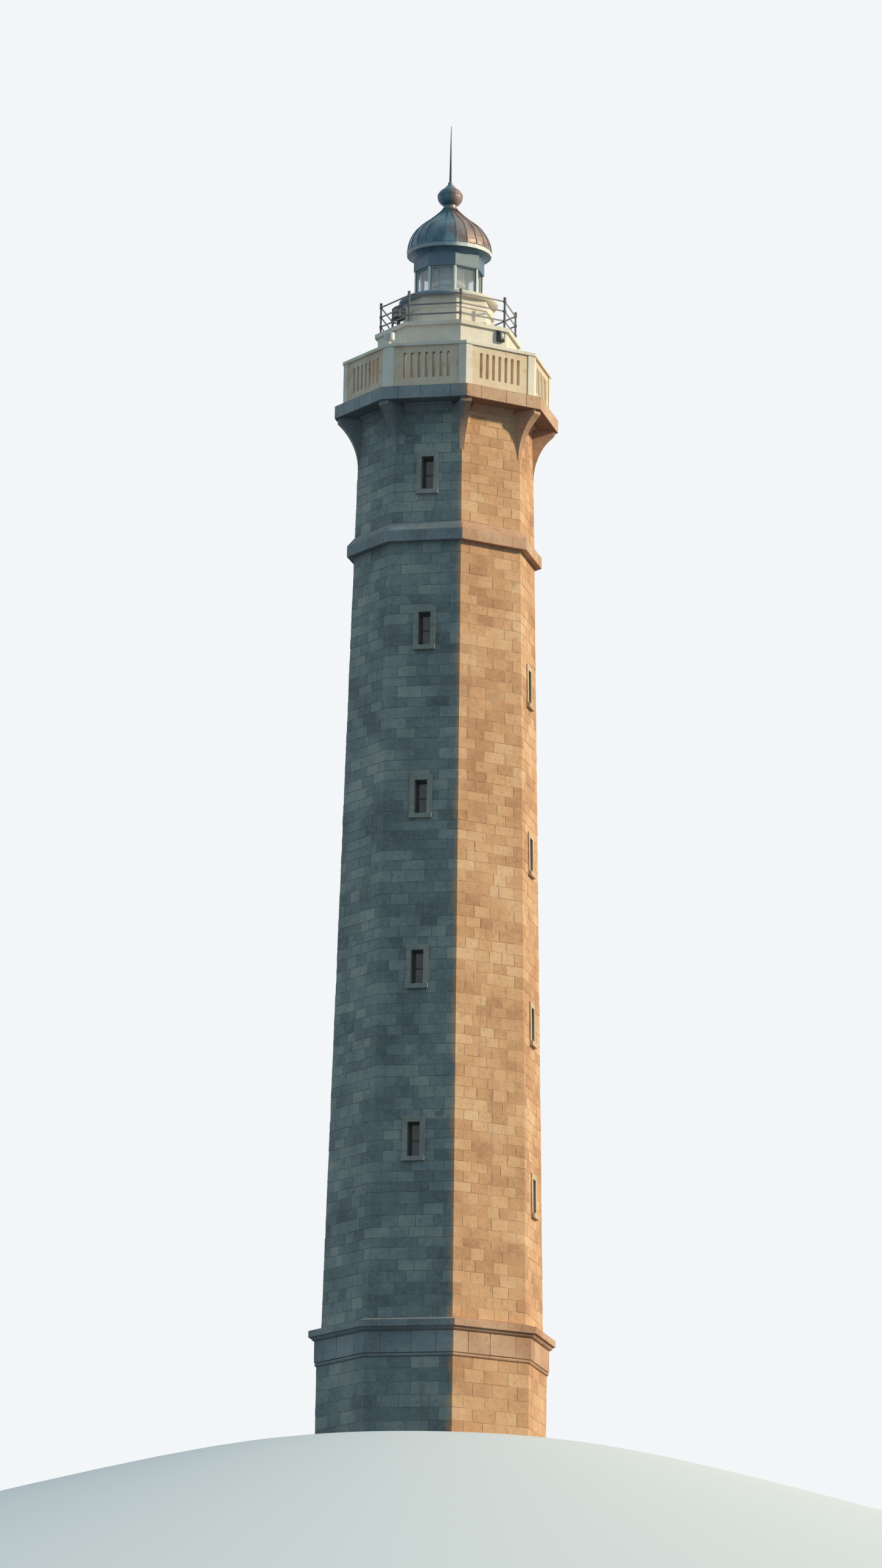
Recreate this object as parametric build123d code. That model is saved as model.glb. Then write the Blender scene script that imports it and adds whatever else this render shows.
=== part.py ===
from build123d import *
import math
import os

# Octagonal granite lighthouse with a parapeted gallery, a watch room and a domed lantern.
# Millimetres. The origin is at the middle of the foundation's underside and +Z is up.
# The eight sides face -Y (south), the diagonals, +X (east), +Y (north) and -X (west).

# Plan: corner radii run from the axis to a corner of the octagon
SIDE_COUNT = 8
TURN = 360 / SIDE_COUNT
STONE_JOINT = 0.5
WELL_FACE = 1400

# Foundation and base storey
STEP_CORNER = 3600
STEP_HEIGHT = 200
STEP_BEVEL = 40
BASE_CORNER = 3340
BASE_WALL_HEIGHT = 2170
ASTRAGAL_HEIGHT = 110
ASTRAGAL_NOSE = 55
FRIEZE_CORNER = 3400
FRIEZE_HEIGHT = 620
CORNICE_CORNER = 3590
CORNICE_OVOLO = 110
CORNICE_FACE = 190
CORNICE_SLOPE = 100
DOORWAY_WIDTH = 950
DOOR_RECESS = 300
DOOR_THICKNESS = 60
DOOR_FRAME = 70
DOOR_BATTEN_COUNT = 5
BATTEN_GROOVE = 8

# Shaft
SHAFT_CORNER_FOOT = 3215
SHAFT_CORNER_TOP = 2585
SHAFT_HEIGHT = 26920
STRING_DROP = 4170
STRING_CORNER = 2900
STRING_FACE = 330
STRING_SLOPE = 270

# Slit windows
WINDOW_WIDTH = 360
WINDOW_HEIGHT = 1000
WINDOW_RECESS = 250
LOW_WINDOW_RISE = 5110
STRING_WINDOW_DROP = 2620
LOWER_WINDOW_COUNT = 4
TOP_WINDOW_DROP = 2100
WINDOW_STEP = 1250
SURROUND_WIDTH = 150
SURROUND_STAND = 50
SILL_HEIGHT = 130
SILL_STAND = 110
SASH_WIDTH = 45
SASH_THICKNESS = 50
PANE_THICKNESS = 12

# Gallery
BRACKET_DROP = 1420
BRACKET_REACH = 640
BRACKET_WIDTH = 320
BRACKET_FOOT_WIDTH = 120
BRACKET_LIP = 120
BRACKET_HOLLOW = 145
BED_MOULD_HEIGHT = 210
BED_MOULD_STAND = 190
BED_MOULD_STEP = 25
BED_MOULD_LIP = 45
BED_MOULD_HOLLOW = 65
DECK_CORNER = 3340
DECK_FACE = 380
DECK_SLOPE = 50
DECK_SLOPE_WIDTH = 180
STAIR_OPENING_FACE = 750
PARAPET_CORNER = 3070
PARAPET_HEIGHT = 1350
PARAPET_THICKNESS = 180
PARAPET_POST_HALF = 200
PARAPET_POST_STAND = 30
COPING_HEIGHT = 130
COPING_STAND = 55
COPING_FALL = 35
SLOT_COUNT = 7
SLOT_WIDTH = 95
SLOT_PITCH = 215
SLOT_HEIGHT = 720
SLOT_SILL = 260
ROUND_SIDE_COUNT = 12

# Watch room and upper deck
WATCH_CORNER = 2100
WATCH_WALL = 300
WATCH_HEIGHT = 2100
WATCH_DOOR_WIDTH = 750
WATCH_DOOR_HEIGHT = 1800
WATCH_DOOR_RECESS = 100
UPPER_DECK_CORNER = 2190
UPPER_DECK_THICKNESS = 120
HATCH_WIDTH = 560
HATCH_LENGTH = 420
HATCH_OFFSET = 590
RAIL_CORNER = 2020
RAIL_HEIGHT = 900
RAIL_DEPTH = 45
RAIL_THICKNESS = 16
RAIL_COUNT = 3
RAIL_POST = 50
RAIL_FINIAL = 84
RAIL_FINIAL_BEVEL = 21
RAIL_SHOE = 110
RAIL_SHOE_HEIGHT = 30

# Lantern
PEDESTAL_CORNER = 1350
PEDESTAL_WALL = 370
PEDESTAL_HEIGHT = 980
PEDESTAL_BAND_DROP = 330
PEDESTAL_BAND_HEIGHT = 60
PEDESTAL_BAND_STAND = 35
SILL_RADIUS = 1460
SILL_GORE_COUNT = 40
SILL_PLATE = 150
SILL_NOSE = 45
GLAZING_CORNER = 1000
GLAZING_HEIGHT = 880
MULLION_WIDTH = 70
MULLION_DEPTH = 90
GLASS_THICKNESS = 12
LANTERN_HEAD_CORNER = 1060
LANTERN_HEAD_WALL = 90
LANTERN_HEAD_HEIGHT = 410
LENS_RADIUS = 480
LENS_INNER_RADIUS = 390
LENS_HEIGHT = 960
LENS_BELT = 200
LENS_BULGE = 25
BELT_FACET_COUNT = 4
LENS_PRISM_COUNT = 5
PRISM_SLOPE = 0.8
LENS_CAP = 40
LENS_CAP_TOP_RADIUS = 140
LENS_STAND_RADIUS = 230
LENS_STAND_FOOT = 330

# Dome and ventilator
GORE_COUNT = 24
ROOF_CORNICE_HEIGHT = 120
ROOF_CORNICE_HOLLOW = 40
HOLLOW_FACET_COUNT = 4
GUTTER_RADIUS = 1245
GUTTER_HEIGHT = 120
GUTTER_DRIP = 20
DOME_SPRING = 1240
DOME_SWELL_RADIUS = 1090
DOME_SWELL_HEIGHT = 500
DOME_SHOULDER_RADIUS = 770
DOME_SHOULDER_HEIGHT = 850
DOME_NECK_RADIUS = 190
DOME_HEIGHT = 1360
DOME_SHELL = 40
SWELL_FACET_COUNT = 7
SWEEP_FACET_COUNT = 4
NECK_HEIGHT = 110
BALL_RADIUS = 370
BALL_HEIGHT = 690
BALL_FACET_COUNT = 9
CAP_HEIGHT = 170
CAP_RADIUS = 200
ROD_RADIUS = 40
ROD_TIP_RADIUS = 8
ROD_LENGTH = 1790

# Fittings on the decks
LAMP_BEARING = -50
LAMP_DISTANCE = 1650
LAMP_RADIUS = 190
LAMP_BODY = 420
LAMP_BEVEL = 63
LAMP_POST_RADIUS = 50
LAMP_POST_HEIGHT = 330
LAMP_SHOE_RADIUS = 105
LAMP_SHOE_HEIGHT = 30
FLOODLIGHT_WIDTH = 300
FLOODLIGHT_HEIGHT = 220
FLOODLIGHT_DEPTH = 160
FLOODLIGHT_BEVEL = 25
FLOODLIGHT_BRACKET = 90
FLOODLIGHT_BRACKET_WIDTH = 60
BULKHEAD_WIDTH = 220
BULKHEAD_HEIGHT = 320
BULKHEAD_DEPTH = 150
BULKHEAD_BEVEL = 38
BULKHEAD_OFFSET = 560
BULKHEAD_DROP = 330

# Heights that follow from the sizes above
astragal_foot = STEP_HEIGHT + BASE_WALL_HEIGHT
frieze_foot = astragal_foot + ASTRAGAL_HEIGHT
cornice_foot = frieze_foot + FRIEZE_HEIGHT
shaft_foot = cornice_foot + CORNICE_OVOLO + CORNICE_FACE + CORNICE_SLOPE
deck_foot = shaft_foot + SHAFT_HEIGHT
string_foot = deck_foot - STRING_DROP
string_top = string_foot + STRING_FACE + STRING_SLOPE
deck_top = deck_foot + DECK_FACE + DECK_SLOPE
coping_foot = deck_top + PARAPET_HEIGHT - COPING_HEIGHT
upper_deck_foot = deck_top + WATCH_HEIGHT
upper_deck_top = upper_deck_foot + UPPER_DECK_THICKNESS
sill_foot = upper_deck_top + PEDESTAL_HEIGHT
glazing_foot = sill_foot + SILL_PLATE
head_foot = glazing_foot + GLAZING_HEIGHT
roof_cornice_foot = head_foot + LANTERN_HEAD_HEIGHT
gutter_foot = roof_cornice_foot + ROOF_CORNICE_HEIGHT
dome_foot = gutter_foot + GUTTER_HEIGHT
ball_foot = dome_foot + DOME_HEIGHT
rod_foot = ball_foot + NECK_HEIGHT + BALL_HEIGHT

HALF_TURN = math.radians(TURN / 2)
SECTION = Plane(origin=(0, 0, 0), x_dir=(0, -1, 0), z_dir=(-1, 0, 0))
SIDE_NAMES = ["south", "southeast", "east", "northeast", "north", "northwest", "west", "southwest"]
NORTH = SIDE_NAMES.index("north")
WINDOWED_SIDES = range(0, SIDE_COUNT, 2)
UPRIGHT = (Align.CENTER, Align.CENTER, Align.MIN)


def face_of(corner):
    """Distance from the axis to a side of an octagon of this corner radius."""
    return corner * math.cos(HALF_TURN)


def shaft_face(height):
    """Distance from the axis to the battered outer face of the shaft at a height."""
    share = (height - shaft_foot) / SHAFT_HEIGHT
    return face_of(SHAFT_CORNER_FOOT + share * (SHAFT_CORNER_TOP - SHAFT_CORNER_FOOT))


def turned(shape, side):
    """A shape drawn for the south side, turned counter-clockwise to another side."""
    return Rot(0, 0, TURN * side) * shape


def around(shape, sides=range(SIDE_COUNT)):
    """Copies of a south-side shape on the given sides, as one compound."""
    return Compound([turned(solid, side) for side in sides for solid in shape.solids()])


def prism(corner, foot, top):
    """Upright octagonal prism."""
    plan = RegularPolygon(radius=corner, side_count=SIDE_COUNT, rotation=TURN / 2)
    return Pos(0, 0, foot) * extrude(plan, amount=top - foot)


def block(width, outer, inner, foot, top, middle=0):
    """Box on the south side between two distances from the axis and two heights."""
    place = Pos(middle, -(outer + inner) / 2, (foot + top) / 2)
    return place * Box(width, outer - inner, top - foot)


def eighth(reach, foot, top):
    """The south eighth of the plan as a wedge that stops half a stone joint from each mitre."""
    tip = STONE_JOINT / 2 / math.sin(HALF_TURN)
    half = (reach - tip) * math.tan(HALF_TURN)
    plan = make_face(Polyline((0, -tip), (half, -reach), (-half, -reach), close=True))
    return Pos(0, 0, foot) * extrude(plan, amount=top - foot)


def stone(edges):
    """South stone of an octagonal course, from edges drawn as (distance from axis, height)."""
    section = SECTION * make_face(edges)
    box = section.bounding_box()
    reach = -box.min.Y + 1
    slab = extrude(section, amount=reach, both=True)
    return slab & eighth(reach, box.min.Z, box.max.Z)


def plain_stone(inner, outer, foot, top):
    """South stone with a rectangular section."""
    return stone(Polyline((inner, foot), (outer, foot), (outer, top), (inner, top), close=True))


def faceted(curve, count):
    """Points that divide a curve into straight facets."""
    return [curve @ (number / count) for number in range(count + 1)]


def gored(points, gores=GORE_COUNT):
    """Solid of flat-sided gores round the axis, from an outline of (distance from axis, height)."""
    section = SECTION * make_face(Polyline(points, close=True))
    box = section.bounding_box()
    reach = -box.min.Y + 1
    half_width = reach * math.tan(math.pi / gores)
    plan = make_face(Polyline((0, 0), (half_width, -reach), (-half_width, -reach), close=True))
    wedge = Pos(0, 0, box.min.Z) * extrude(plan, amount=box.max.Z - box.min.Z)
    gore = extrude(section, amount=half_width, both=True) & wedge
    turns = [Rot(0, 0, 360 / gores * number) * gore for number in range(gores)]
    return turns[0].fuse(*turns[1:]).clean()


def column(radius, sides, foot, top, bevel=0):
    """Upright column of flat sides on the axis, with both ends bevelled where a bevel is given."""
    shape = Pos(0, 0, foot) * extrude(RegularPolygon(radius, sides), amount=top - foot)
    if bevel:
        ends = shape.faces().sort_by(Axis.Z)
        shape = chamfer(ends[0].edges() + ends[-1].edges(), bevel)
    return shape


def foundation_step():
    slab = prism(STEP_CORNER, 0, STEP_HEIGHT)
    return chamfer(slab.faces().sort_by(Axis.Z)[-1].edges(), STEP_BEVEL)


def base_wall():
    """Seven mitred stones and, on the north side, the two jambs of the doorway."""
    whole = plain_stone(WELL_FACE, face_of(BASE_CORNER), STEP_HEIGHT, astragal_foot)
    doorway = block(DOORWAY_WIDTH, BASE_CORNER, 0, STEP_HEIGHT - 1, astragal_foot + 1)
    plain_sides = [side for side in range(SIDE_COUNT) if side != NORTH]
    jambs = around(whole - doorway, [NORTH])
    return Compound(around(whole, plain_sides).solids() + jambs.solids())


def base_astragal():
    """Thin course with a half-round nose that stands out from the base wall."""
    face = face_of(BASE_CORNER)
    top = astragal_foot + ASTRAGAL_HEIGHT
    middle = (astragal_foot + top) / 2
    back = Polyline((face, top), (WELL_FACE, top), (WELL_FACE, astragal_foot), (face, astragal_foot))
    nose = ThreePointArc((face, astragal_foot), (face + ASTRAGAL_NOSE, middle), (face, top))
    return around(stone(back + nose))


def base_frieze():
    return around(plain_stone(WELL_FACE, face_of(FRIEZE_CORNER), frieze_foot, cornice_foot))


def base_cornice():
    """Course with an ovolo, an upright face and a weathered top that carries the shaft."""
    bed = face_of(FRIEZE_CORNER)
    face = face_of(CORNICE_CORNER)
    ovolo_top = cornice_foot + CORNICE_OVOLO
    face_top = ovolo_top + CORNICE_FACE
    ovolo = CenterArc((bed, ovolo_top), min(CORNICE_OVOLO, face - bed), -90, 90)
    rest = Polyline(
        ovolo @ 1, (face, ovolo_top), (face, face_top), (face_of(SHAFT_CORNER_FOOT), shaft_foot),
        (WELL_FACE, shaft_foot), (WELL_FACE, cornice_foot), ovolo @ 0)
    return around(stone(ovolo + rest))


def window_heights(side):
    """Middles of a side's windows: each column steps down a quarter pitch from the last."""
    lowest = shaft_foot + LOW_WINDOW_RISE
    pitch = (string_foot - STRING_WINDOW_DROP - lowest) / (LOWER_WINDOW_COUNT - 1)
    column = [lowest + pitch * number for number in range(LOWER_WINDOW_COUNT)]
    column.append(deck_foot - TOP_WINDOW_DROP)
    reach = WINDOW_HEIGHT / 2 + SURROUND_WIDTH + SILL_HEIGHT
    middles = []
    for height in column:
        middle = height - WINDOW_STEP * side / 2
        crosses = middle + reach > string_foot and middle - reach < string_top
        if middle - reach > shaft_foot and not crosses:
            middles.append(middle)
    return middles


def windows():
    """Each slit window as its side's number and the height of its middle."""
    return [(side, middle) for side in WINDOWED_SIDES for middle in window_heights(side)]


def shaft_wall(side):
    """One battered side of the shaft, through its whole height, with its windows cut through."""
    foot_face = face_of(SHAFT_CORNER_FOOT)
    top_face = face_of(SHAFT_CORNER_TOP)
    section = Polyline(
        (WELL_FACE, shaft_foot), (foot_face, shaft_foot), (top_face, deck_foot),
        (WELL_FACE, deck_foot), close=True)
    wall = stone(section)
    if side in WINDOWED_SIDES:
        for middle in window_heights(side):
            foot = middle - WINDOW_HEIGHT / 2
            wall -= block(WINDOW_WIDTH, SHAFT_CORNER_FOOT, 0, foot, foot + WINDOW_HEIGHT)
    return turned(wall, side)


def battered_slab(width, stand, foot, top):
    """Block that stands out from the shaft's face by a fixed depth, its back on the battered face."""
    section = Polyline(
        (shaft_face(foot), foot), (shaft_face(foot) + stand, foot),
        (shaft_face(top) + stand, top), (shaft_face(top), top), close=True)
    return extrude(SECTION * make_face(section), amount=width / 2, both=True)


def window_surround(middle):
    """Raised jambs and lintel round a slit window, on a deeper sill."""
    foot = middle - WINDOW_HEIGHT / 2
    top = middle + WINDOW_HEIGHT / 2
    width = WINDOW_WIDTH + 2 * SURROUND_WIDTH
    jambs = battered_slab(width, SURROUND_STAND, foot, top + SURROUND_WIDTH)
    jambs -= block(WINDOW_WIDTH, SHAFT_CORNER_FOOT + SILL_STAND, 0, foot, top)
    return jambs + battered_slab(width, SILL_STAND, foot - SILL_HEIGHT, foot)


def window_surrounds():
    return Compound([turned(window_surround(middle), side).solid() for side, middle in windows()])


def sash_face(middle):
    """Distance from the axis to the front of a window's sash."""
    return shaft_face(middle + WINDOW_HEIGHT / 2) - WINDOW_RECESS


def window_sash(middle):
    """Iron frame that fills the slit, with one glazing bar across its middle."""
    foot = middle - WINDOW_HEIGHT / 2
    top = middle + WINDOW_HEIGHT / 2
    front = sash_face(middle)
    back = front - SASH_THICKNESS
    sash = block(WINDOW_WIDTH, front, back, foot, top)
    clear = WINDOW_WIDTH - 2 * SASH_WIDTH
    sash -= block(clear, front + 1, back - 1, foot + SASH_WIDTH, middle - SASH_WIDTH / 2)
    sash -= block(clear, front + 1, back - 1, middle + SASH_WIDTH / 2, top - SASH_WIDTH)
    return sash


def window_sashes():
    return Compound([turned(window_sash(middle), side).solid() for side, middle in windows()])


def window_panes():
    """Two panes in each sash, at the middle of its thickness."""
    panes = []
    for side, middle in windows():
        front = sash_face(middle) - (SASH_THICKNESS - PANE_THICKNESS) / 2
        clear = WINDOW_WIDTH - 2 * SASH_WIDTH
        low = middle - WINDOW_HEIGHT / 2 + SASH_WIDTH
        high = middle + WINDOW_HEIGHT / 2 - SASH_WIDTH
        for foot, top in ((low, middle - SASH_WIDTH / 2), (middle + SASH_WIDTH / 2, high)):
            pane = block(clear, front, front - PANE_THICKNESS, foot, top)
            panes.append(turned(pane, side).solid())
    return Compound(panes)


def string_course():
    """Band round the shaft, upright in front, that slopes back to it on top."""
    face = face_of(STRING_CORNER)
    return around(stone(Polyline(
        (shaft_face(string_foot), string_foot), (face, string_foot), (face, string_foot + STRING_FACE),
        (shaft_face(string_top), string_top), close=True)))


def shaft_envelope():
    """The battered outside of the shaft as one solid, to seat what stands on its corners."""
    foot = Pos(0, 0, shaft_foot) * RegularPolygon(SHAFT_CORNER_FOOT, SIDE_COUNT, rotation=TURN / 2)
    top = Pos(0, 0, deck_foot) * RegularPolygon(SHAFT_CORNER_TOP, SIDE_COUNT, rotation=TURN / 2)
    return loft([foot, top], ruled=True)


def corner_bracket():
    """Tapering corbel on a corner of the shaft: it swells out in a hollow curve below a lip."""
    foot = deck_foot - BRACKET_DROP
    root = SHAFT_CORNER_TOP * math.cos(HALF_TURN)
    front = SHAFT_CORNER_TOP + BRACKET_REACH
    lip_foot = deck_foot - BRACKET_LIP
    heel = shaft_face(foot) / math.cos(HALF_TURN)
    hollow = SagittaArc((heel, foot), (front, lip_foot), BRACKET_HOLLOW)
    rest = Polyline((front, lip_foot), (front, deck_foot), (root, deck_foot), (root, foot), (heel, foot))
    bracket = extrude(SECTION * make_face(hollow + rest), amount=BRACKET_WIDTH / 2, both=True)
    outline = Plane.XZ * make_face(Polyline(
        (-BRACKET_FOOT_WIDTH / 2, foot), (BRACKET_FOOT_WIDTH / 2, foot),
        (BRACKET_WIDTH / 2, lip_foot), (BRACKET_WIDTH / 2, deck_foot),
        (-BRACKET_WIDTH / 2, deck_foot), (-BRACKET_WIDTH / 2, lip_foot), close=True))
    tapered = bracket & extrude(outline, amount=front + 1)
    return Rot(0, 0, TURN / 2) * tapered - shaft_envelope()


def corner_brackets():
    return around(corner_bracket())


def bed_moulding():
    """Cavetto under the gallery deck, between the brackets."""
    foot = deck_foot - BED_MOULD_HEIGHT
    lip_foot = deck_foot - BED_MOULD_LIP
    step = shaft_face(foot) + BED_MOULD_STEP
    far = shaft_face(deck_foot) + BED_MOULD_STAND
    hollow = SagittaArc((step, foot), (far, lip_foot), BED_MOULD_HOLLOW)
    back = Polyline(
        (far, lip_foot), (far, deck_foot), (shaft_face(deck_foot), deck_foot),
        (shaft_face(foot), foot), (step, foot))
    length = 2 * far * math.tan(HALF_TURN) - BRACKET_WIDTH / math.cos(HALF_TURN) - 2 * BED_MOULD_STAND
    return around(extrude(SECTION * make_face(hollow + back), amount=length / 2, both=True))


def gallery_deck():
    """Deck stones with a weathered edge, from the stair opening to the cornice's face."""
    face = face_of(DECK_CORNER)
    face_top = deck_foot + DECK_FACE
    return around(stone(Polyline(
        (STAIR_OPENING_FACE, deck_foot), (face, deck_foot), (face, face_top),
        (face - DECK_SLOPE_WIDTH, deck_top), (STAIR_OPENING_FACE, deck_top), close=True)))


def parapet_panel(side):
    """Thin wall between two posts, pierced by round-headed slots."""
    outer = face_of(PARAPET_CORNER)
    length = 2 * (outer * math.tan(HALF_TURN) - PARAPET_POST_HALF)
    panel = block(length, outer, outer - PARAPET_THICKNESS, deck_top, coping_foot)
    foot = deck_top + SLOT_SILL
    slot = block(SLOT_WIDTH, outer + 1, outer - PARAPET_THICKNESS - 1, foot, foot + SLOT_HEIGHT)
    head = Pos(0, -outer + PARAPET_THICKNESS / 2, foot + SLOT_HEIGHT) * Rot(90, 0, 0)
    round_head = RegularPolygon(SLOT_WIDTH / 2, ROUND_SIDE_COUNT)
    slot += head * extrude(round_head, PARAPET_THICKNESS / 2 + 1, both=True)
    for number in range(SLOT_COUNT):
        panel -= Pos((number - (SLOT_COUNT - 1) / 2) * SLOT_PITCH, 0, 0) * slot
    return turned(panel, side)


def parapet_posts():
    """Corner posts that the panels butt against, proud of them on both faces."""
    outer = face_of(PARAPET_CORNER)
    stand = PARAPET_POST_STAND / math.cos(HALF_TURN)
    thickness = (PARAPET_THICKNESS + PARAPET_POST_STAND) / math.cos(HALF_TURN)
    ring = prism(PARAPET_CORNER + stand, deck_top, coping_foot)
    ring -= prism(PARAPET_CORNER - thickness, deck_top - 1, coping_foot + 1)
    length = 2 * (outer * math.tan(HALF_TURN) - PARAPET_POST_HALF)
    reach = PARAPET_CORNER + stand + 1
    for side in range(SIDE_COUNT):
        ring -= turned(block(length, reach, 0, deck_top - 1, coping_foot + 1), side)
    return ring


def parapet_coping():
    """Mitred capping stones that fall away from a ridge on both sides."""
    outer = face_of(PARAPET_CORNER) + COPING_STAND
    inner = face_of(PARAPET_CORNER) - PARAPET_THICKNESS - COPING_STAND
    top = coping_foot + COPING_HEIGHT
    return around(stone(Polyline(
        (inner, coping_foot), (outer, coping_foot), (outer, top - COPING_FALL),
        ((inner + outer) / 2, top), (inner, top - COPING_FALL), close=True)))


def watch_room_wall():
    """Mitred walls; the north one is two jambs and the stone over the door."""
    outer = face_of(WATCH_CORNER)
    inner = outer - WATCH_WALL
    whole = plain_stone(inner, outer, deck_top, upper_deck_foot)
    door_head = deck_top + WATCH_DOOR_HEIGHT
    doorway = block(WATCH_DOOR_WIDTH, WATCH_CORNER, 0, deck_top - 1, door_head)
    jambs = plain_stone(inner, outer, deck_top, door_head) - doorway
    head = plain_stone(inner, outer, door_head, upper_deck_foot)
    plain_sides = [side for side in range(SIDE_COUNT) if side != NORTH]
    pieces = around(whole, plain_sides).solids()
    pieces += turned(jambs + head, NORTH).solids()
    return Compound(pieces)


def watch_room_door():
    """Leaf that fills the doorway, set back from the wall's face."""
    front = face_of(WATCH_CORNER) - WATCH_DOOR_RECESS
    top = deck_top + WATCH_DOOR_HEIGHT
    return turned(block(WATCH_DOOR_WIDTH, front, front - DOOR_THICKNESS, deck_top, top), NORTH)


def upper_deck():
    slab = prism(UPPER_DECK_CORNER, upper_deck_foot, upper_deck_top)
    hatch = block(
        HATCH_WIDTH, HATCH_OFFSET + HATCH_LENGTH / 2, HATCH_OFFSET - HATCH_LENGTH / 2,
        upper_deck_foot - 1, upper_deck_top + 1)
    return slab - turned(hatch, NORTH)


def railing_post():
    """Square iron post on a shoe, with a faceted finial."""
    finial = Box(RAIL_FINIAL, RAIL_FINIAL, RAIL_FINIAL, align=UPRIGHT)
    post = Box(RAIL_SHOE, RAIL_SHOE, RAIL_SHOE_HEIGHT, align=UPRIGHT)
    post += Box(RAIL_POST, RAIL_POST, RAIL_HEIGHT, align=UPRIGHT)
    post += Pos(0, 0, RAIL_HEIGHT) * chamfer(finial.edges(), RAIL_FINIAL_BEVEL)
    return Rot(0, 0, TURN / 2) * Pos(0, -RAIL_CORNER, upper_deck_top) * post


def railing_rails():
    """Flat rails cut to the sides of the two posts that they run between."""
    length = 2 * RAIL_CORNER * math.sin(HALF_TURN)
    posts = [railing_post(), Rot(0, 0, -TURN) * railing_post()]
    bars = []
    for number in range(1, RAIL_COUNT + 1):
        height = upper_deck_top + RAIL_HEIGHT * number / RAIL_COUNT - RAIL_POST
        bar = Pos(0, -face_of(RAIL_CORNER), height) * Box(length, RAIL_THICKNESS, RAIL_DEPTH)
        bars += (bar - posts).solids()
    return around(Compound(bars))


def lantern_pedestal():
    outer = face_of(PEDESTAL_CORNER)
    return around(plain_stone(outer - PEDESTAL_WALL, outer, upper_deck_top, sill_foot))


def pedestal_band():
    """Flat moulding round the lantern's pedestal."""
    outer = face_of(PEDESTAL_CORNER)
    foot = sill_foot - PEDESTAL_BAND_DROP
    return around(plain_stone(outer, outer + PEDESTAL_BAND_STAND, foot, foot + PEDESTAL_BAND_HEIGHT))


def lantern_sill():
    """Round plate with bevelled edges that overhangs the pedestal."""
    inner = face_of(PEDESTAL_CORNER) - PEDESTAL_WALL
    nose = SILL_RADIUS - SILL_NOSE
    outline = [
        (inner, sill_foot), (nose, sill_foot), (SILL_RADIUS, sill_foot + SILL_NOSE),
        (SILL_RADIUS, glazing_foot - SILL_NOSE), (nose, glazing_foot), (inner, glazing_foot)]
    return gored(outline, SILL_GORE_COUNT)


def lantern_mullions():
    """Upright bars at the corners of the glazing."""
    inner = GLAZING_CORNER - MULLION_DEPTH
    bar = block(MULLION_WIDTH, GLAZING_CORNER, inner, glazing_foot, head_foot)
    return around(Rot(0, 0, TURN / 2) * bar)


def lantern_glass():
    """Flat panes, each with its ends on the sides of two mullions."""
    middle = face_of(GLAZING_CORNER - MULLION_DEPTH / 2)
    outer = middle + GLASS_THICKNESS / 2
    inner = middle - GLASS_THICKNESS / 2
    margin = MULLION_WIDTH / 2 / math.cos(HALF_TURN)
    outer_end = outer * math.tan(HALF_TURN) - margin
    inner_end = inner * math.tan(HALF_TURN) - margin
    plan = make_face(Polyline(
        (outer_end, -outer), (inner_end, -inner), (-inner_end, -inner), (-outer_end, -outer), close=True))
    return around(Pos(0, 0, glazing_foot) * extrude(plan, amount=GLAZING_HEIGHT))


def lantern_head():
    """Octagonal ring over the glazing that carries the roof."""
    outer = face_of(LANTERN_HEAD_CORNER)
    return around(plain_stone(outer - LANTERN_HEAD_WALL, outer, head_foot, roof_cornice_foot))


def lens():
    """Drum lens of many panels: a bulging belt between stacks of prism rings that lean towards it."""
    foot = glazing_foot + LENS_CAP
    middle = foot + LENS_HEIGHT / 2
    pitch = (LENS_HEIGHT - LENS_BELT) / 2 / LENS_PRISM_COUNT
    rim = LENS_RADIUS - LENS_BULGE
    lower = [(LENS_INNER_RADIUS, foot)]
    for number in range(LENS_PRISM_COUNT):
        prism_foot = foot + number * pitch
        lower += [(rim - pitch / 2, prism_foot), (rim, prism_foot + pitch * PRISM_SLOPE)]
    lower.append((rim - pitch / 2, middle - LENS_BELT / 2))
    upper = [(radius, 2 * middle - height) for radius, height in reversed(lower)]
    belt = ThreePointArc(lower[-1], (LENS_RADIUS, middle), upper[0])
    return gored(lower[:-1] + faceted(belt, BELT_FACET_COUNT) + upper[1:])


def lens_frame():
    """Stand under the lens and the cap that closes it."""
    lens_foot = glazing_foot + LENS_CAP
    lens_top = lens_foot + LENS_HEIGHT
    stand = gored([
        (0, upper_deck_top), (LENS_STAND_FOOT, upper_deck_top), (LENS_STAND_FOOT, upper_deck_top + LENS_CAP),
        (LENS_STAND_RADIUS, upper_deck_top + LENS_CAP), (LENS_STAND_RADIUS, glazing_foot - LENS_CAP),
        (LENS_RADIUS, glazing_foot), (LENS_RADIUS, lens_foot), (0, lens_foot)])
    cap = gored([
        (0, lens_top), (LENS_RADIUS, lens_top), (LENS_RADIUS, lens_top + LENS_CAP),
        (LENS_CAP_TOP_RADIUS, lens_top + 3 * LENS_CAP), (0, lens_top + 3 * LENS_CAP)])
    return Compound([stand.solid(), cap.solid()])


def roof_cornice():
    """Hollow moulding that spreads from the lantern's head to the gutter."""
    bed = face_of(LANTERN_HEAD_CORNER)
    inner = bed - LANTERN_HEAD_WALL
    reach = GUTTER_RADIUS - GUTTER_DRIP
    hollow = SagittaArc((bed, roof_cornice_foot), (reach, gutter_foot), ROOF_CORNICE_HOLLOW)
    return gored(faceted(hollow, HOLLOW_FACET_COUNT) + [(inner, gutter_foot), (inner, roof_cornice_foot)])


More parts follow.
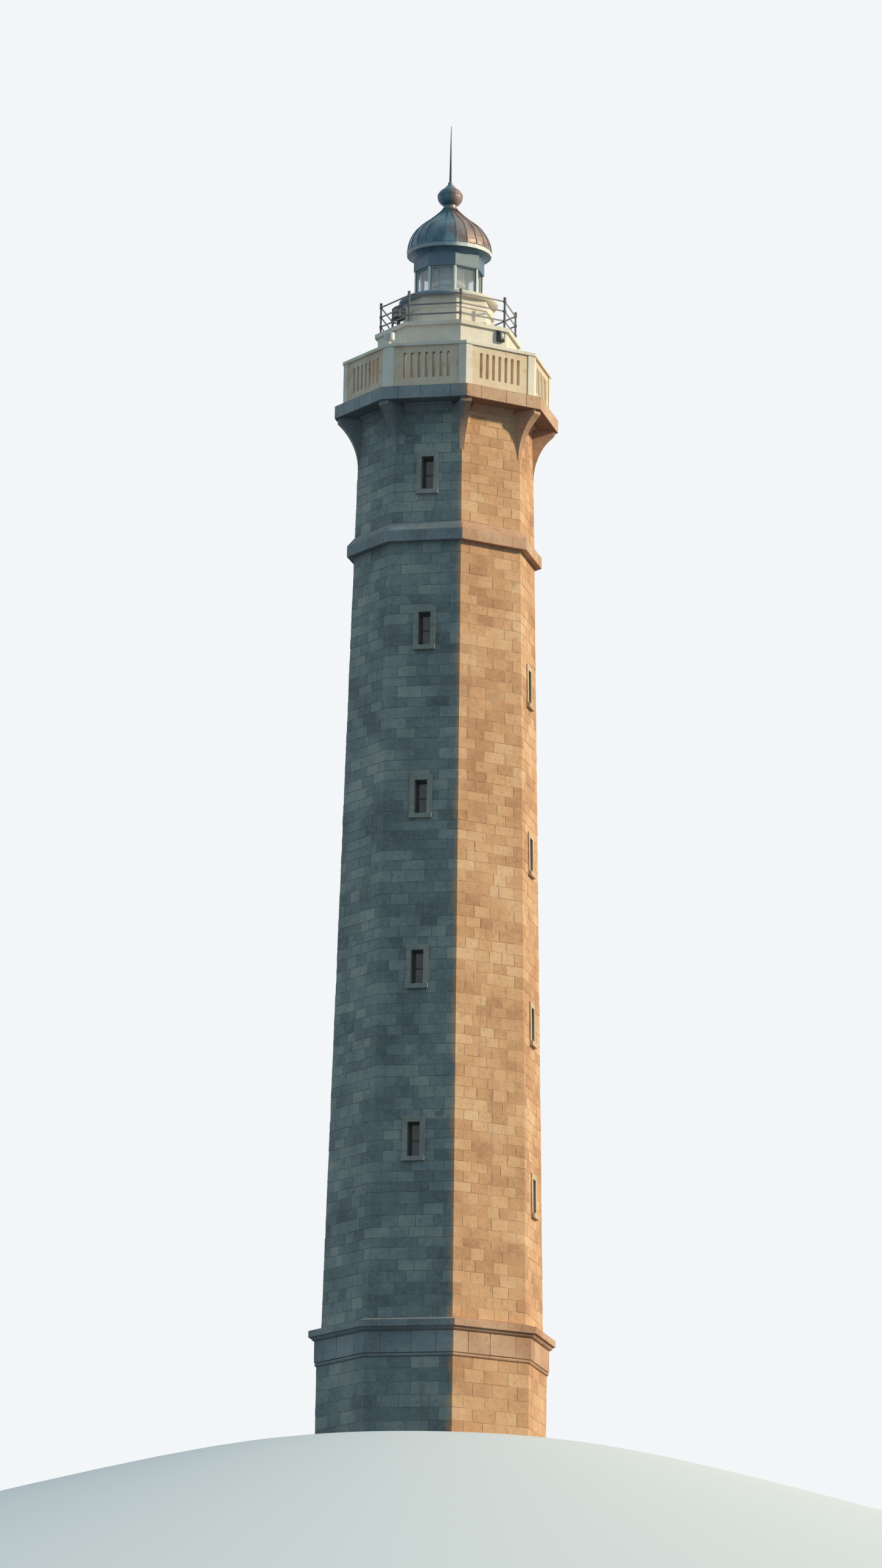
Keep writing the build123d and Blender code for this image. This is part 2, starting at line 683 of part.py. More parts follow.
def dome_gutter():
    """Ring with an upright lip at the eaves, which carries the dome."""
    inner = face_of(LANTERN_HEAD_CORNER) - LANTERN_HEAD_WALL
    return gored([
        (inner, gutter_foot), (GUTTER_RADIUS, gutter_foot), (GUTTER_RADIUS, dome_foot), (inner, dome_foot)])


def bell_outline(inset):
    """Outline of the bell dome from its spring to its neck, inset by the shell's thickness."""
    shoulder = (DOME_SHOULDER_RADIUS - inset, dome_foot + DOME_SHOULDER_HEIGHT - inset / 2)
    swell = ThreePointArc(
        (DOME_SPRING - inset, dome_foot),
        (DOME_SWELL_RADIUS - inset, dome_foot + DOME_SWELL_HEIGHT - inset / 2), shoulder)
    sweep = TangentArc(shoulder, (DOME_NECK_RADIUS - inset, ball_foot), tangent=swell % 1)
    return faceted(swell, SWELL_FACET_COUNT) + faceted(sweep, SWEEP_FACET_COUNT)[1:]


def dome():
    """Bell-shaped copper shell of gores."""
    return gored(bell_outline(0) + bell_outline(DOME_SHELL)[::-1])


def vent_ball():
    """Ventilator: a ball on a short neck, under a pointed cap."""
    ball_top = rod_foot - CAP_HEIGHT
    ball_base = ball_foot + NECK_HEIGHT
    belly = ThreePointArc(
        (DOME_NECK_RADIUS, ball_base), (BALL_RADIUS, (ball_base + ball_top) / 2), (CAP_RADIUS, ball_top))
    return gored([(0, ball_foot), (DOME_NECK_RADIUS, ball_foot)] + faceted(belly, BALL_FACET_COUNT) + [
        (ROD_RADIUS, rod_foot), (0, rod_foot)])


def lightning_rod():
    """Tapering eight-sided rod."""
    slope = (ROD_RADIUS - ROD_TIP_RADIUS) * math.cos(HALF_TURN) / ROD_LENGTH
    taper = math.degrees(math.atan(slope))
    foot = RegularPolygon(ROD_RADIUS, SIDE_COUNT)
    return Pos(0, 0, rod_foot) * extrude(foot, amount=ROD_LENGTH, taper=taper)


def deck_lamp():
    """Lamp on a short post on the upper deck, between the lantern and the railing."""
    place = Rot(0, 0, LAMP_BEARING) * Pos(0, -LAMP_DISTANCE, upper_deck_top)
    lamp = column(LAMP_SHOE_RADIUS, ROUND_SIDE_COUNT, 0, LAMP_SHOE_HEIGHT)
    lamp += column(LAMP_POST_RADIUS, ROUND_SIDE_COUNT, 0, LAMP_POST_HEIGHT)
    lamp += column(LAMP_RADIUS, ROUND_SIDE_COUNT, LAMP_POST_HEIGHT, LAMP_POST_HEIGHT + LAMP_BODY, LAMP_BEVEL)
    return place * lamp


def floodlight():
    """Box lamp on a bracket over the parapet's corner."""
    middle = PARAPET_CORNER - PARAPET_THICKNESS / 2
    front = middle + FLOODLIGHT_DEPTH / 2
    back = middle - FLOODLIGHT_DEPTH / 2
    coping_top = coping_foot + COPING_HEIGHT
    foot = coping_top + FLOODLIGHT_BRACKET
    body = block(FLOODLIGHT_WIDTH, front, back, foot, foot + FLOODLIGHT_HEIGHT)
    lamp = chamfer(body.edges().filter_by(Axis.Z), FLOODLIGHT_BEVEL)
    lamp += block(
        FLOODLIGHT_BRACKET_WIDTH, front - FLOODLIGHT_BEVEL, back + FLOODLIGHT_BEVEL,
        coping_top - COPING_FALL, foot)
    return Rot(0, 0, -TURN / 2) * lamp - parapet_coping()


def bulkhead_lamp():
    """Small lamp on the watch room's south-east wall, near its east corner."""
    outer = face_of(WATCH_CORNER)
    top = upper_deck_foot - BULKHEAD_DROP + BULKHEAD_HEIGHT
    lamp = block(BULKHEAD_WIDTH, outer + BULKHEAD_DEPTH, outer, top - BULKHEAD_HEIGHT, top, BULKHEAD_OFFSET)
    front = lamp.faces().sort_by(Axis.Y)[0]
    return turned(chamfer(front.edges(), BULKHEAD_BEVEL), SIDE_NAMES.index("southeast"))


def entrance_frame():
    """Timber frame on both jambs and across the head of the entrance."""
    front = face_of(BASE_CORNER) - DOOR_RECESS
    depth = 2 * DOOR_THICKNESS
    frame = block(DOORWAY_WIDTH, front, front - depth, STEP_HEIGHT, astragal_foot)
    clear = DOORWAY_WIDTH - 2 * DOOR_FRAME
    frame -= block(clear, front + 1, front - depth - 1, STEP_HEIGHT - 1, astragal_foot - DOOR_FRAME)
    return turned(frame, NORTH)


def entrance_door():
    """Battened leaf inside the frame."""
    front = face_of(BASE_CORNER) - DOOR_RECESS - DOOR_THICKNESS / 2
    clear = DOORWAY_WIDTH - 2 * DOOR_FRAME
    top = astragal_foot - DOOR_FRAME
    leaf = block(clear, front, front - DOOR_THICKNESS, STEP_HEIGHT, top)
    for number in range(1, DOOR_BATTEN_COUNT):
        middle = clear * (number / DOOR_BATTEN_COUNT - 0.5)
        leaf -= block(BATTEN_GROOVE, front + 1, front - BATTEN_GROOVE, STEP_HEIGHT - 1, top + 1, middle)
    return turned(leaf, NORTH)


nodes = {
    "foundation_step": foundation_step(),
    "base_wall": base_wall(),
    "base_astragal": base_astragal(),
    "base_frieze": base_frieze(),
    "base_cornice": base_cornice(),
    "entrance_frame": entrance_frame(),
    "entrance_door": entrance_door(),
    "window_surrounds": window_surrounds(),
    "window_sashes": window_sashes(),
    "window_panes": window_panes(),
    "string_course": string_course(),
    "corner_brackets": corner_brackets(),
    "bed_moulding": bed_moulding(),
    "gallery_deck": gallery_deck(),
    "parapet_posts": parapet_posts(),
    "parapet_coping": parapet_coping(),
    "watch_room_wall": watch_room_wall(),
    "watch_room_door": watch_room_door(),
    "upper_deck": upper_deck(),
    "railing_posts": around(railing_post()),
    "railing_rails": railing_rails(),
    "lantern_pedestal": lantern_pedestal(),
    "pedestal_band": pedestal_band(),
    "lantern_sill": lantern_sill(),
    "lantern_mullions": lantern_mullions(),
    "lantern_glass": lantern_glass(),
    "lantern_head": lantern_head(),
    "lens": lens(),
    "lens_frame": lens_frame(),
    "roof_cornice": roof_cornice(),
    "dome_gutter": dome_gutter(),
    "dome": dome(),
    "vent_ball": vent_ball(),
    "lightning_rod": lightning_rod(),
    "deck_lamp": deck_lamp(),
    "floodlight": floodlight(),
    "bulkhead_lamp": bulkhead_lamp(),
}
for side, name in enumerate(SIDE_NAMES):
    nodes["shaft_wall_" + name] = shaft_wall(side)
    nodes["parapet_panel_" + name] = parapet_panel(side)

os.makedirs("parts", exist_ok=True)
for name, shape in nodes.items():
    export_step(shape, "parts/" + name + ".step")
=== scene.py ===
"""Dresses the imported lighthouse: coursed granite, limewashed parapet, iron, glass and weathered copper.

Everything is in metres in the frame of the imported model: +Z up the tower, the first windowed side facing -Y.
"""

import logging
import math
import random
from dataclasses import dataclass, field, replace
from enum import Enum
from typing import Iterator, Sequence, Union

import bmesh
import bpy
from mathutils import Matrix, Vector


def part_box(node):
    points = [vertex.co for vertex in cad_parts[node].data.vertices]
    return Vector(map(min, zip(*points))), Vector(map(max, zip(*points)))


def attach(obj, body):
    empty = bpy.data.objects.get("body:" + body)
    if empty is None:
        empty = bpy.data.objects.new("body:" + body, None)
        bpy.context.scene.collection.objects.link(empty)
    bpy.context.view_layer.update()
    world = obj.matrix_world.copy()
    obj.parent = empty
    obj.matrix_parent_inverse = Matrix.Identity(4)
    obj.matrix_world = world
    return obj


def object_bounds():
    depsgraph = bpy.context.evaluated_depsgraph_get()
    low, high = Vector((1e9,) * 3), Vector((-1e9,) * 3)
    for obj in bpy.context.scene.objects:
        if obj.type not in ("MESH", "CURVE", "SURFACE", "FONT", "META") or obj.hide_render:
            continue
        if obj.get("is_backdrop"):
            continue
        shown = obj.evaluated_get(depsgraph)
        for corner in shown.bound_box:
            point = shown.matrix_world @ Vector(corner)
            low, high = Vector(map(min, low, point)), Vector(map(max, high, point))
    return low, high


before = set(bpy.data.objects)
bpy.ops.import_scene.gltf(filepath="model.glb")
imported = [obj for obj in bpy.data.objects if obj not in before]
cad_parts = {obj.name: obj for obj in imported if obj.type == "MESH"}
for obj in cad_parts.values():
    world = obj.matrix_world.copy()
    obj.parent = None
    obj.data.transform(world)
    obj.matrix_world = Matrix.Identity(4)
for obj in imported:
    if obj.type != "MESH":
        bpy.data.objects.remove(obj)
CAD_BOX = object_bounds()

LOG = logging.getLogger("lighthouse")
BODY = "root"
SIDES = 8
TURN = math.tau / SIDES
HALF_TURN = TURN / 2
UP = Vector((0, 0, 1)).freeze()
OUT = Vector((0, -1, 0)).freeze()
AXIS = Vector((0, 0, 0)).freeze()
SQUARE = ((-1, -1), (1, -1), (1, 1), (-1, 1))
# Level direction that the sun comes from: sides facing it keep their sunlit colours, the others get painted
# shade.
SUNLIT_SIDE = (1.0, 0.0, 0.0)
TINT = "stone_tint"
TOUCH = 0.001
WELD = 0.0001

SCREEN_WHITE = 255
SCREEN_TOE = 0.04045
SCREEN_SLOPE = 12.92
SCREEN_OFFSET = 0.055
SCREEN_POWER = 2.4

Triple = tuple[float, float, float]
Pair = tuple[float, float]
Box = tuple[Vector, Vector]
Work = bmesh.types.BMesh
Colour = Triple
Value = Union["Socket", float, int]


def tone(red: int, green: int, blue: int) -> Colour:
    """Turns a colour as a screen shows it, 0 to 255, into the linear values that shaders use.

    Args:
        red: Red as shown.
        green: Green as shown.
        blue: Blue as shown.

    Returns:
        The linear colour.
    """
    shares = (channel / SCREEN_WHITE for channel in (red, green, blue))
    return tuple(
        share / SCREEN_SLOPE if share <= SCREEN_TOE
        else ((share + SCREEN_OFFSET) / (1 + SCREEN_OFFSET)) ** SCREEN_POWER
        for share in shares)


def with_alpha(colour: Colour) -> tuple[float, float, float, float]:
    """Adds full opacity to a colour."""
    return (*colour, 1.0)


class Side(Enum):
    """The octagon's sides, counted counter-clockwise from above."""

    SOUTH = 0
    SOUTHEAST = 1
    EAST = 2
    NORTHEAST = 3
    NORTH = 4
    NORTHWEST = 5
    WEST = 6
    SOUTHWEST = 7

    def node(self, prefix: str) -> str:
        """Name of the CAD node of this side in a set of eight."""
        return prefix + self.name.lower()


@dataclass(frozen=True)
class Pattern:
    """A soft noise on the object.

    scale is in blotches per metre, detail in octaves, and fine is the strength of the finer octaves. A small
    upright draws the blotches out into upright streaks.
    """

    scale: float
    detail: float
    fine: float = 0.55
    upright: float = 1.0


@dataclass(frozen=True)
class Mask:
    """How a value turns into a mask that rises smoothly from 0 at start to a share at full."""

    start: float
    full: float
    share: float = 1.0


@dataclass(frozen=True)
class ShadeSplit:
    """The line between the sunlit and the shaded sides of the tower, where painted light gives way to painted
    shade, with an edge that wanders.
    """

    wander: Pattern
    reach: float
    change: Mask


# Where the painted shade on the stone and on the paint begins, round the tower.
STONE_SHADE_SPLIT = ShadeSplit(Pattern(1.6, 4.0), 0.12, Mask(0.39, 0.455))
PAINT_SHADE_SPLIT = ShadeSplit(Pattern(1.9, 5.0), 0.2, Mask(0.3, 0.62))


class Socket:
    """One output of a shader node. Arithmetic on it adds Math nodes to its tree."""

    def __init__(self, shader: "Shader", output: bpy.types.NodeSocket) -> None:
        """Wraps an output.

        Args:
            shader: The material in the making that the output belongs to.
            output: The node output.
        """
        self.shader = shader
        self.output = output

    def _math(self, operation: str, left: Value, right: Value) -> "Socket":
        """Adds a Math node and hands back its result."""
        return self.shader.node("ShaderNodeMath", {"operation": operation}, {0: left, 1: right})

    def __add__(self, other: Value) -> "Socket":
        """Sum."""
        return self._math("ADD", self, other)

    def __radd__(self, other: Value) -> "Socket":
        """Sum, with the number first."""
        return self._math("ADD", other, self)

    def __sub__(self, other: Value) -> "Socket":
        """Difference."""
        return self._math("SUBTRACT", self, other)

    def __rsub__(self, other: Value) -> "Socket":
        """Difference, with the number first."""
        return self._math("SUBTRACT", other, self)

    def __mul__(self, other: Value) -> "Socket":
        """Product."""
        return self._math("MULTIPLY", self, other)

    def __rmul__(self, other: Value) -> "Socket":
        """Product, with the number first."""
        return self._math("MULTIPLY", other, self)


class Shader:
    """A node tree in the making."""

    def __init__(self, owner: bpy.types.Material | bpy.types.World) -> None:
        """Starts from an empty tree.

        Args:
            owner: The material or world that the tree belongs to.
        """
        owner.use_nodes = True
        self.tree = owner.node_tree
        self.tree.nodes.clear()
        self.places: dict[Triple, Socket] = {}

    def node(
        self,
        kind: str,
        settings: dict[str, object] | None = None,
        inputs: dict[int | str, object] | None = None,
        output: int | str = 0,
    ) -> Socket:
        """Adds one node.

        Args:
            kind: The node's type.
            settings: Properties set before the inputs; "stops" fills a colour ramp.
            inputs: Values or sockets by input name or number.
            output: Which output to hand back.

        Returns:
            That output.
        """
        made = self.tree.nodes.new(kind)
        for key, value in (settings or {}).items():
            if key == "stops":
                self._fill_ramp(made.color_ramp, value)
            else:
                setattr(made, key, value)
        for key, value in (inputs or {}).items():
            if isinstance(value, Socket):
                self.tree.links.new(value.output, made.inputs[key])
            else:
                made.inputs[key].default_value = value
        return Socket(self, made.outputs[output] if made.outputs else None)

    @staticmethod
    def _fill_ramp(ramp: bpy.types.ColorRamp, stops: Sequence[tuple[float, Colour]]) -> None:
        """Sets a ramp's stops.

        Args:
            ramp: The ramp.
            stops: Place and colour of each stop, two at least.
        """
        while len(ramp.elements) < len(stops):
            ramp.elements.new(1.0)
        for element, (place, colour) in zip(ramp.elements, stops):
            element.position = place
            element.color = with_alpha(colour)

    def place(self, stretch: Triple = (1.0, 1.0, 1.0)) -> Socket:
        """Position on the object in metres, scaled along each axis.

        Args:
            stretch: Factor for each axis.

        Returns:
            The position.
        """
        if stretch not in self.places:
            position = self.node("ShaderNodeTexCoord", output="Object")
            inputs = {0: position, 1: stretch}
            self.places[stretch] = self.node("ShaderNodeVectorMath", {"operation": "MULTIPLY"}, inputs)
        return self.places[stretch]

    def height(self) -> Socket:
        """Height above the ground in metres."""
        return self.node("ShaderNodeSeparateXYZ", inputs={0: self.place()}, output="Z")

    def noise(self, pattern: Pattern) -> Socket:
        """Soft noise from 0 to 1.

        Args:
            pattern: Its scale, octaves and stretch.

        Returns:
            The noise.
        """
        return self.node("ShaderNodeTexNoise", inputs={
            "Vector": self.place((1.0, 1.0, pattern.upright)),
            "Scale": pattern.scale,
            "Detail": pattern.detail,
            "Roughness": pattern.fine,
        })

    def mask(self, value: Socket, mask: Mask) -> Socket:
        """Turns a value into a mask.

        Args:
            value: The value to judge.
            mask: Where it starts to rise, where it is full, and its share there.

        Returns:
            The mask.
        """
        inputs = {"Value": value, "From Min": mask.start, "From Max": mask.full, "To Max": mask.share}
        return self.node("ShaderNodeMapRange", {"interpolation_type": "SMOOTHSTEP"}, inputs)

    def toward_sun(self) -> Socket:
        """Tells which side of the tower a place is on.

        Returns:
            1 on the side facing the sun, down to -1 on the shaded far side; it places the painted light and
            shade.
        """
        kind, level = "ShaderNodeVectorMath", self.place((1.0, 1.0, 0.0))
        out = self.node(kind, {"operation": "NORMALIZE"}, {0: level})
        return self.node(kind, {"operation": "DOT_PRODUCT"}, {0: out, 1: SUNLIT_SIDE}, "Value")

    def sunlit_mask(self, shade_split: ShadeSplit = STONE_SHADE_SPLIT) -> Socket:
        """Mask that is 1 on the sunlit sides of the tower and 0 on the shaded ones, which splits painted light
        from painted shade.
        """
        return self.mask(self.toward_sun() + self.noise(shade_split.wander) * shade_split.reach, shade_split.change)

    def with_painted_shade(self, colour: Socket, damp: Colour | None) -> Socket:
        """Paints shade: gives a finish another colour on the shaded sides of the tower.

        Args:
            colour: The finish's colour.
            damp: Its painted shade colour on the shaded sides, or nothing where it doesn't change.

        Returns:
            The colour all round.
        """
        if damp is None:
            return colour
        return self.mix(self.sunlit_mask(PAINT_SHADE_SPLIT), damp, colour)

    def ramp(self, value: Socket, stops: Sequence[tuple[float, Colour]]) -> Socket:
        """Turns a value into a colour by the place and colour of each stop."""
        return self.node("ShaderNodeValToRGB", {"stops": stops}, {0: value})

    def mix(self, mask: Value, first: Socket | Colour, second: Socket | Colour) -> Socket:
        """Mixes two colours.

        Args:
            mask: 0 for the first, 1 for the second.
            first: Colour under the mask's zeros.
            second: Colour under its ones.

        Returns:
            The mixed colour.
        """
        below, above = (c if isinstance(c, Socket) else with_alpha(c) for c in (first, second))
        settings = {"data_type": "RGBA", "clamp_factor": True}
        return self.node("ShaderNodeMix", settings, {0: mask, 6: below, 7: above}, 2)

    def coated(self, colour: Socket, coats: Sequence[tuple[Socket, Mask, Colour]]) -> Socket:
        """Lays coats over a colour, one after the other.

        Args:
            colour: The colour below.
            coats: The value that places each coat, its mask and its colour.

        Returns:
            The colour on top.
        """
        for value, mask, coat in coats:
            colour = self.mix(self.mask(value, mask), colour, coat)
        return colour

    def bump(
        self, height: Socket, depth: float, strength: float = 1.0, under: Socket | None = None,
    ) -> Socket:
        """Turns a height into a normal.

        Args:
            height: Height from 0 to 1.
            depth: Depth of the relief in metres.
            strength: Share of the effect.
            under: Normal of a coarser relief below this one.

        Returns:
            The normal.
        """
        inputs = {"Height": height, "Distance": depth, "Strength": strength}
        if under is not None:
            inputs["Normal"] = under
        return self.node("ShaderNodeBump", inputs=inputs)

    def by_ray(self, kind: str, lit: dict[str, object], shown: dict[str, object]) -> Socket:
        """Mixes two shaders of one kind, so that the background shows pale without lighting the object.

        Args:
            kind: The shaders' type.
            lit: Inputs of the one that lights the object.
            shown: Inputs of the one that camera, mirror and glass rays see.

        Returns:
            The mixed shader.
        """
        seen = self.node("ShaderNodeLightPath", output="Is Camera Ray")
        for ray in ("Is Glossy Ray", "Is Transmission Ray"):
            seen = seen + self.node("ShaderNodeLightPath", output=ray)
        first, second = (self.node(kind, inputs=inputs) for inputs in (lit, shown))
        return self.node("ShaderNodeMixShader", inputs={0: seen, 1: first, 2: second})

    def surface(self, inputs: dict[str, object]) -> None:
        """Closes the tree with a principled surface that has these inputs."""
        shade = self.node("ShaderNodeBsdfPrincipled", inputs=inputs)
        self.node("ShaderNodeOutputMaterial", inputs={"Surface": shade})


class Finish:
    """A surface finish that makes its material once."""

    name: str
    slot: str
    _made: dict[str, bpy.types.Material] = {}

    def build(self, shader: Shader) -> None:
        """Adds the finish's nodes to an empty material's tree."""
        raise NotImplementedError

    def material(self) -> bpy.types.Material:
        """Hands back the finish's material, which is made on first use.

        Returns:
            The material.
        """
        if self.name not in Finish._made:
            made = bpy.data.materials.new(self.name)
            self.build(Shader(made))
            Finish._made[self.name] = made
        return Finish._made[self.name]


@dataclass(frozen=True)
class Granite(Finish):
    """Weathered granite with painted light and shade: warm on the sunlit sides and cool on the shaded ones.

    It has crystal speckle, changes from stone to stone, rain streaks and lichen. Where beds isn't 0, it is
    the height of the courses that dark bed joints mark on a tall stone.
    """

    name: str
    slot: str = "granite"
    # Warm tones for the sunlit sides, and tones of painted shade for the shaded ones.
    buff: tuple[Colour, Colour, Colour] = (tone(176, 126, 90), tone(212, 162, 120), tone(230, 190, 150))
    grey: tuple[Colour, Colour, Colour] = (tone(78, 98, 102), tone(122, 140, 140), tone(168, 174, 164))
    stops: Triple = (0.05, 0.5, 0.95)
    mica: Colour = tone(78, 72, 64)
    streak: Colour = tone(112, 104, 92)
    lichen: Colour = tone(170, 160, 122)
    stone_change: float = 0.5
    patches: Pattern = Pattern(0.7, 5.0)
    patch_edge: Mask = Mask(0.25, 0.75)
    grain: Pattern = Pattern(9.0, 6.0, 0.7)
    pale_grain: Mask = Mask(0.38, 0.7, 0.175)
    dark_grain: Mask = Mask(0.48, 0.3, 0.4)
    crystals: Pattern = Pattern(55.0, 3.0, 0.7)
    dark_crystals: Mask = Mask(0.42, 0.25, 0.35)
    rain: Pattern = Pattern(2.4, 5.0, 0.6, 0.07)
    rain_edge: Mask = Mask(0.55, 0.8, 0.45)
    spots: Pattern = Pattern(3.2, 6.0, 0.7)
    spot_edge: Mask = Mask(0.6, 0.74, 0.35)
    beds: float = 0.0
    bed_edge: Mask = Mask(0.009, 0.003, 0.65)
    relief: float = 0.012
    crystal_relief: float = 0.125
    crystal_strength: float = 0.7
    roughness: float = 0.78
    crystal_roughness: Mask = Mask(0.2, 0.8, 0.16)

    def build(self, shader: Shader) -> None:
        """Adds the finish's nodes.

        Args:
            shader: The material's empty tree.
        """
        grain, crystals = shader.noise(self.grain), shader.noise(self.crystals)
        tint = shader.node("ShaderNodeAttribute", {"attribute_name": TINT}, output="Fac")
        patches = shader.mask(shader.noise(self.patches), self.patch_edge)
        stone = tint * self.stone_change + patches * (1 - self.stone_change)
        # The stone's sunlit tones and its painted shade tones, mixed by the side of the tower that a place
        # faces.
        dry, damp = (shader.ramp(stone, list(zip(self.stops, tones))) for tones in (self.buff, self.grey))
        coats = [
            (grain, self.pale_grain, self.buff[-1]),
            (grain, self.dark_grain, self.streak),
            (crystals, self.dark_crystals, self.mica),
            (shader.noise(self.rain), self.rain_edge, self.streak),
            (shader.noise(self.spots), self.spot_edge, self.lichen),
        ]
        if self.beds:
            inputs = {0: shader.height(), 1: self.beds / 2}
            from_bed = shader.node("ShaderNodeMath", {"operation": "PINGPONG"}, inputs)
            coats.append((from_bed, self.bed_edge, self.streak))
        coarse = shader.bump(grain, self.relief)
        shader.surface({
            "Base Color": shader.coated(shader.mix(shader.sunlit_mask(), damp, dry), coats),
            "Roughness": self.roughness + shader.mask(crystals, self.crystal_roughness),
            "Normal": shader.bump(crystals, self.relief * self.crystal_relief, self.crystal_strength, coarse),
        })


@dataclass(frozen=True)
class Mortar(Finish):
    """Lime mortar in the joints, in a painted shade colour on the shaded sides of the tower."""

    name: str = "lime_mortar"
    slot: str = "granite"
    dry: Colour = tone(206, 168, 130)
    damp: Colour = tone(126, 132, 126)
    grime: Colour = tone(128, 112, 92)
    clouds: Pattern = Pattern(1.3, 5.0)
    grimy: Mask = Mask(0.4, 0.8, 0.6)
    grit: Pattern = Pattern(90.0, 3.0, 0.7)
    relief: float = 0.003
    roughness: float = 0.85
    grit_roughness: float = 0.1

    def build(self, shader: Shader) -> None:
        """Adds the finish's nodes.

        Args:
            shader: The material's empty tree.
        """
        grit = shader.noise(self.grit)
        # Painted shade: the mortar's sunlit colour gives way to its shade colour on the shaded sides.
        lime = shader.mix(shader.sunlit_mask(), self.damp, self.dry)
        shader.surface({
            "Base Color": shader.coated(lime, [(shader.noise(self.clouds), self.grimy, self.grime)]),
            "Roughness": self.roughness + grit * self.grit_roughness,
            "Normal": shader.bump(grit, self.relief),
        })


@dataclass(frozen=True)
class Limewash(Finish):
    """Cream limewash over stone: brushed, rain-stained and worn through in patches."""

    name: str = "cream_limewash"
    slot: str = "limewashed_stone"
    wash: Colour = tone(238, 230, 214)
    aged: Colour = tone(226, 211, 190)
    under: Colour = tone(204, 168, 132)
    stain: Colour = tone(168, 158, 136)
    # Painted shade colour for the shaded sides, where the wash has one.
    damp: Colour | None = None
    clouds: Pattern = Pattern(1.1, 6.0, 0.6)
    cloud_edge: Mask = Mask(0.38, 0.72)
    worn: float = 0.1
    wear: Pattern = Pattern(2.6, 8.0, 0.68)
    wear_edge: Mask = Mask(0.66, 0.72)
    wear_share: float = 0.6
    runs: Pattern = Pattern(5.0, 5.0, 0.62, 0.12)
    run_edge: Mask = Mask(0.58, 0.82, 0.5)
    brush: Pattern = Pattern(26.0, 4.0, 0.6, 0.35)
    brush_relief: float = 0.0015
    brush_strength: float = 0.8
    lumps: Pattern = Pattern(7.0, 5.0)
    lump_relief: float = 0.008
    wear_depth: float = 0.4
    roughness: float = 0.8
    cloud_roughness: float = 0.15

    def build(self, shader: Shader) -> None:
        """Adds the finish's nodes.

        Args:
            shader: The material's empty tree.
        """
        clouds = shader.noise(self.clouds)
        wash = shader.mix(shader.mask(clouds, self.cloud_edge), self.wash, self.aged)
        edge = replace(self.wear_edge, start=self.wear_edge.start - self.worn / 2)
        wear = shader.mask(shader.noise(self.wear), edge)
        # The wash takes its painted shade colour on the shaded sides.
        colour = shader.mix(wear * self.wear_share, shader.with_painted_shade(wash, self.damp), self.under)
        coarse = shader.bump(shader.noise(self.lumps) - wear * self.wear_depth, self.lump_relief)
        shader.surface({
            "Base Color": shader.coated(colour, [(shader.noise(self.runs), self.run_edge, self.stain)]),
            "Roughness": self.roughness + clouds * self.cloud_roughness,
            "Normal": shader.bump(shader.noise(self.brush), self.brush_relief, self.brush_strength, coarse),
        })


@dataclass(frozen=True)
class WeatheredCopper(Finish):
    """Copper sheet, brownish on the sunlit sides and blue-green on the shaded ones, where verdigris is mixed
    with painted shade and a painted sky reflection.
    """

    name: str = "weathered_copper_sheet"
    slot: str = "weathered_copper"
    brown: Colour = tone(158, 132, 122)
    dark: Colour = tone(104, 92, 92)
    # Blue-green of the shaded sides: verdigris together with painted shade and a painted sky reflection.
    patina_and_shade: Colour = tone(68, 124, 144)
    deep_patina_and_shade: Colour = tone(40, 86, 103)
    clouds: Pattern = Pattern(1.9, 6.0, 0.62)
    mottle: Mask = Mask(0.36, 0.68)
    shade_side_wander: float = 0.6
    shade_side_edge: Mask = Mask(1.0, 0.35)
    runs: Pattern = Pattern(6.5, 5.0, 0.6, 0.16)
    run_edge: Mask = Mask(0.42, 0.7)
    run_share: float = 0.15
    dents: Pattern = Pattern(4.5, 3.0)
    dent_relief: float = 0.006
    metallic: float = 0.5
    patina_metallic: float = 0.2
    roughness: float = 0.36
    run_roughness: float = 0.2
    cloud_roughness: float = 0.1

    def build(self, shader: Shader) -> None:
        """Adds the finish's nodes.

        Args:
            shader: The material's empty tree.
        """
        clouds = shader.noise(self.clouds)
        mottle = shader.mask(clouds, self.mottle)
        runs = shader.mask(shader.noise(self.runs), self.run_edge)
        # Mask of the shaded sides, which carry the painted shade and painted sky reflection as well as the
        # verdigris.
        shade_side_cover = shader.mask(shader.toward_sun() + clouds * self.shade_side_wander, self.shade_side_edge)
        dry, damp = shader.mix(mottle, self.brown, self.dark), shader.mix(mottle, self.patina_and_shade, self.deep_patina_and_shade)
        shader.surface({
            "Base Color": shader.mix(shade_side_cover * (1 - self.run_share) + runs * self.run_share, dry, damp),
            "Metallic": self.metallic - shade_side_cover * (self.metallic - self.patina_metallic),
            "Roughness": self.roughness + runs * self.run_roughness + clouds * self.cloud_roughness,
            "Normal": shader.bump(shader.noise(self.dents), self.dent_relief),
        })


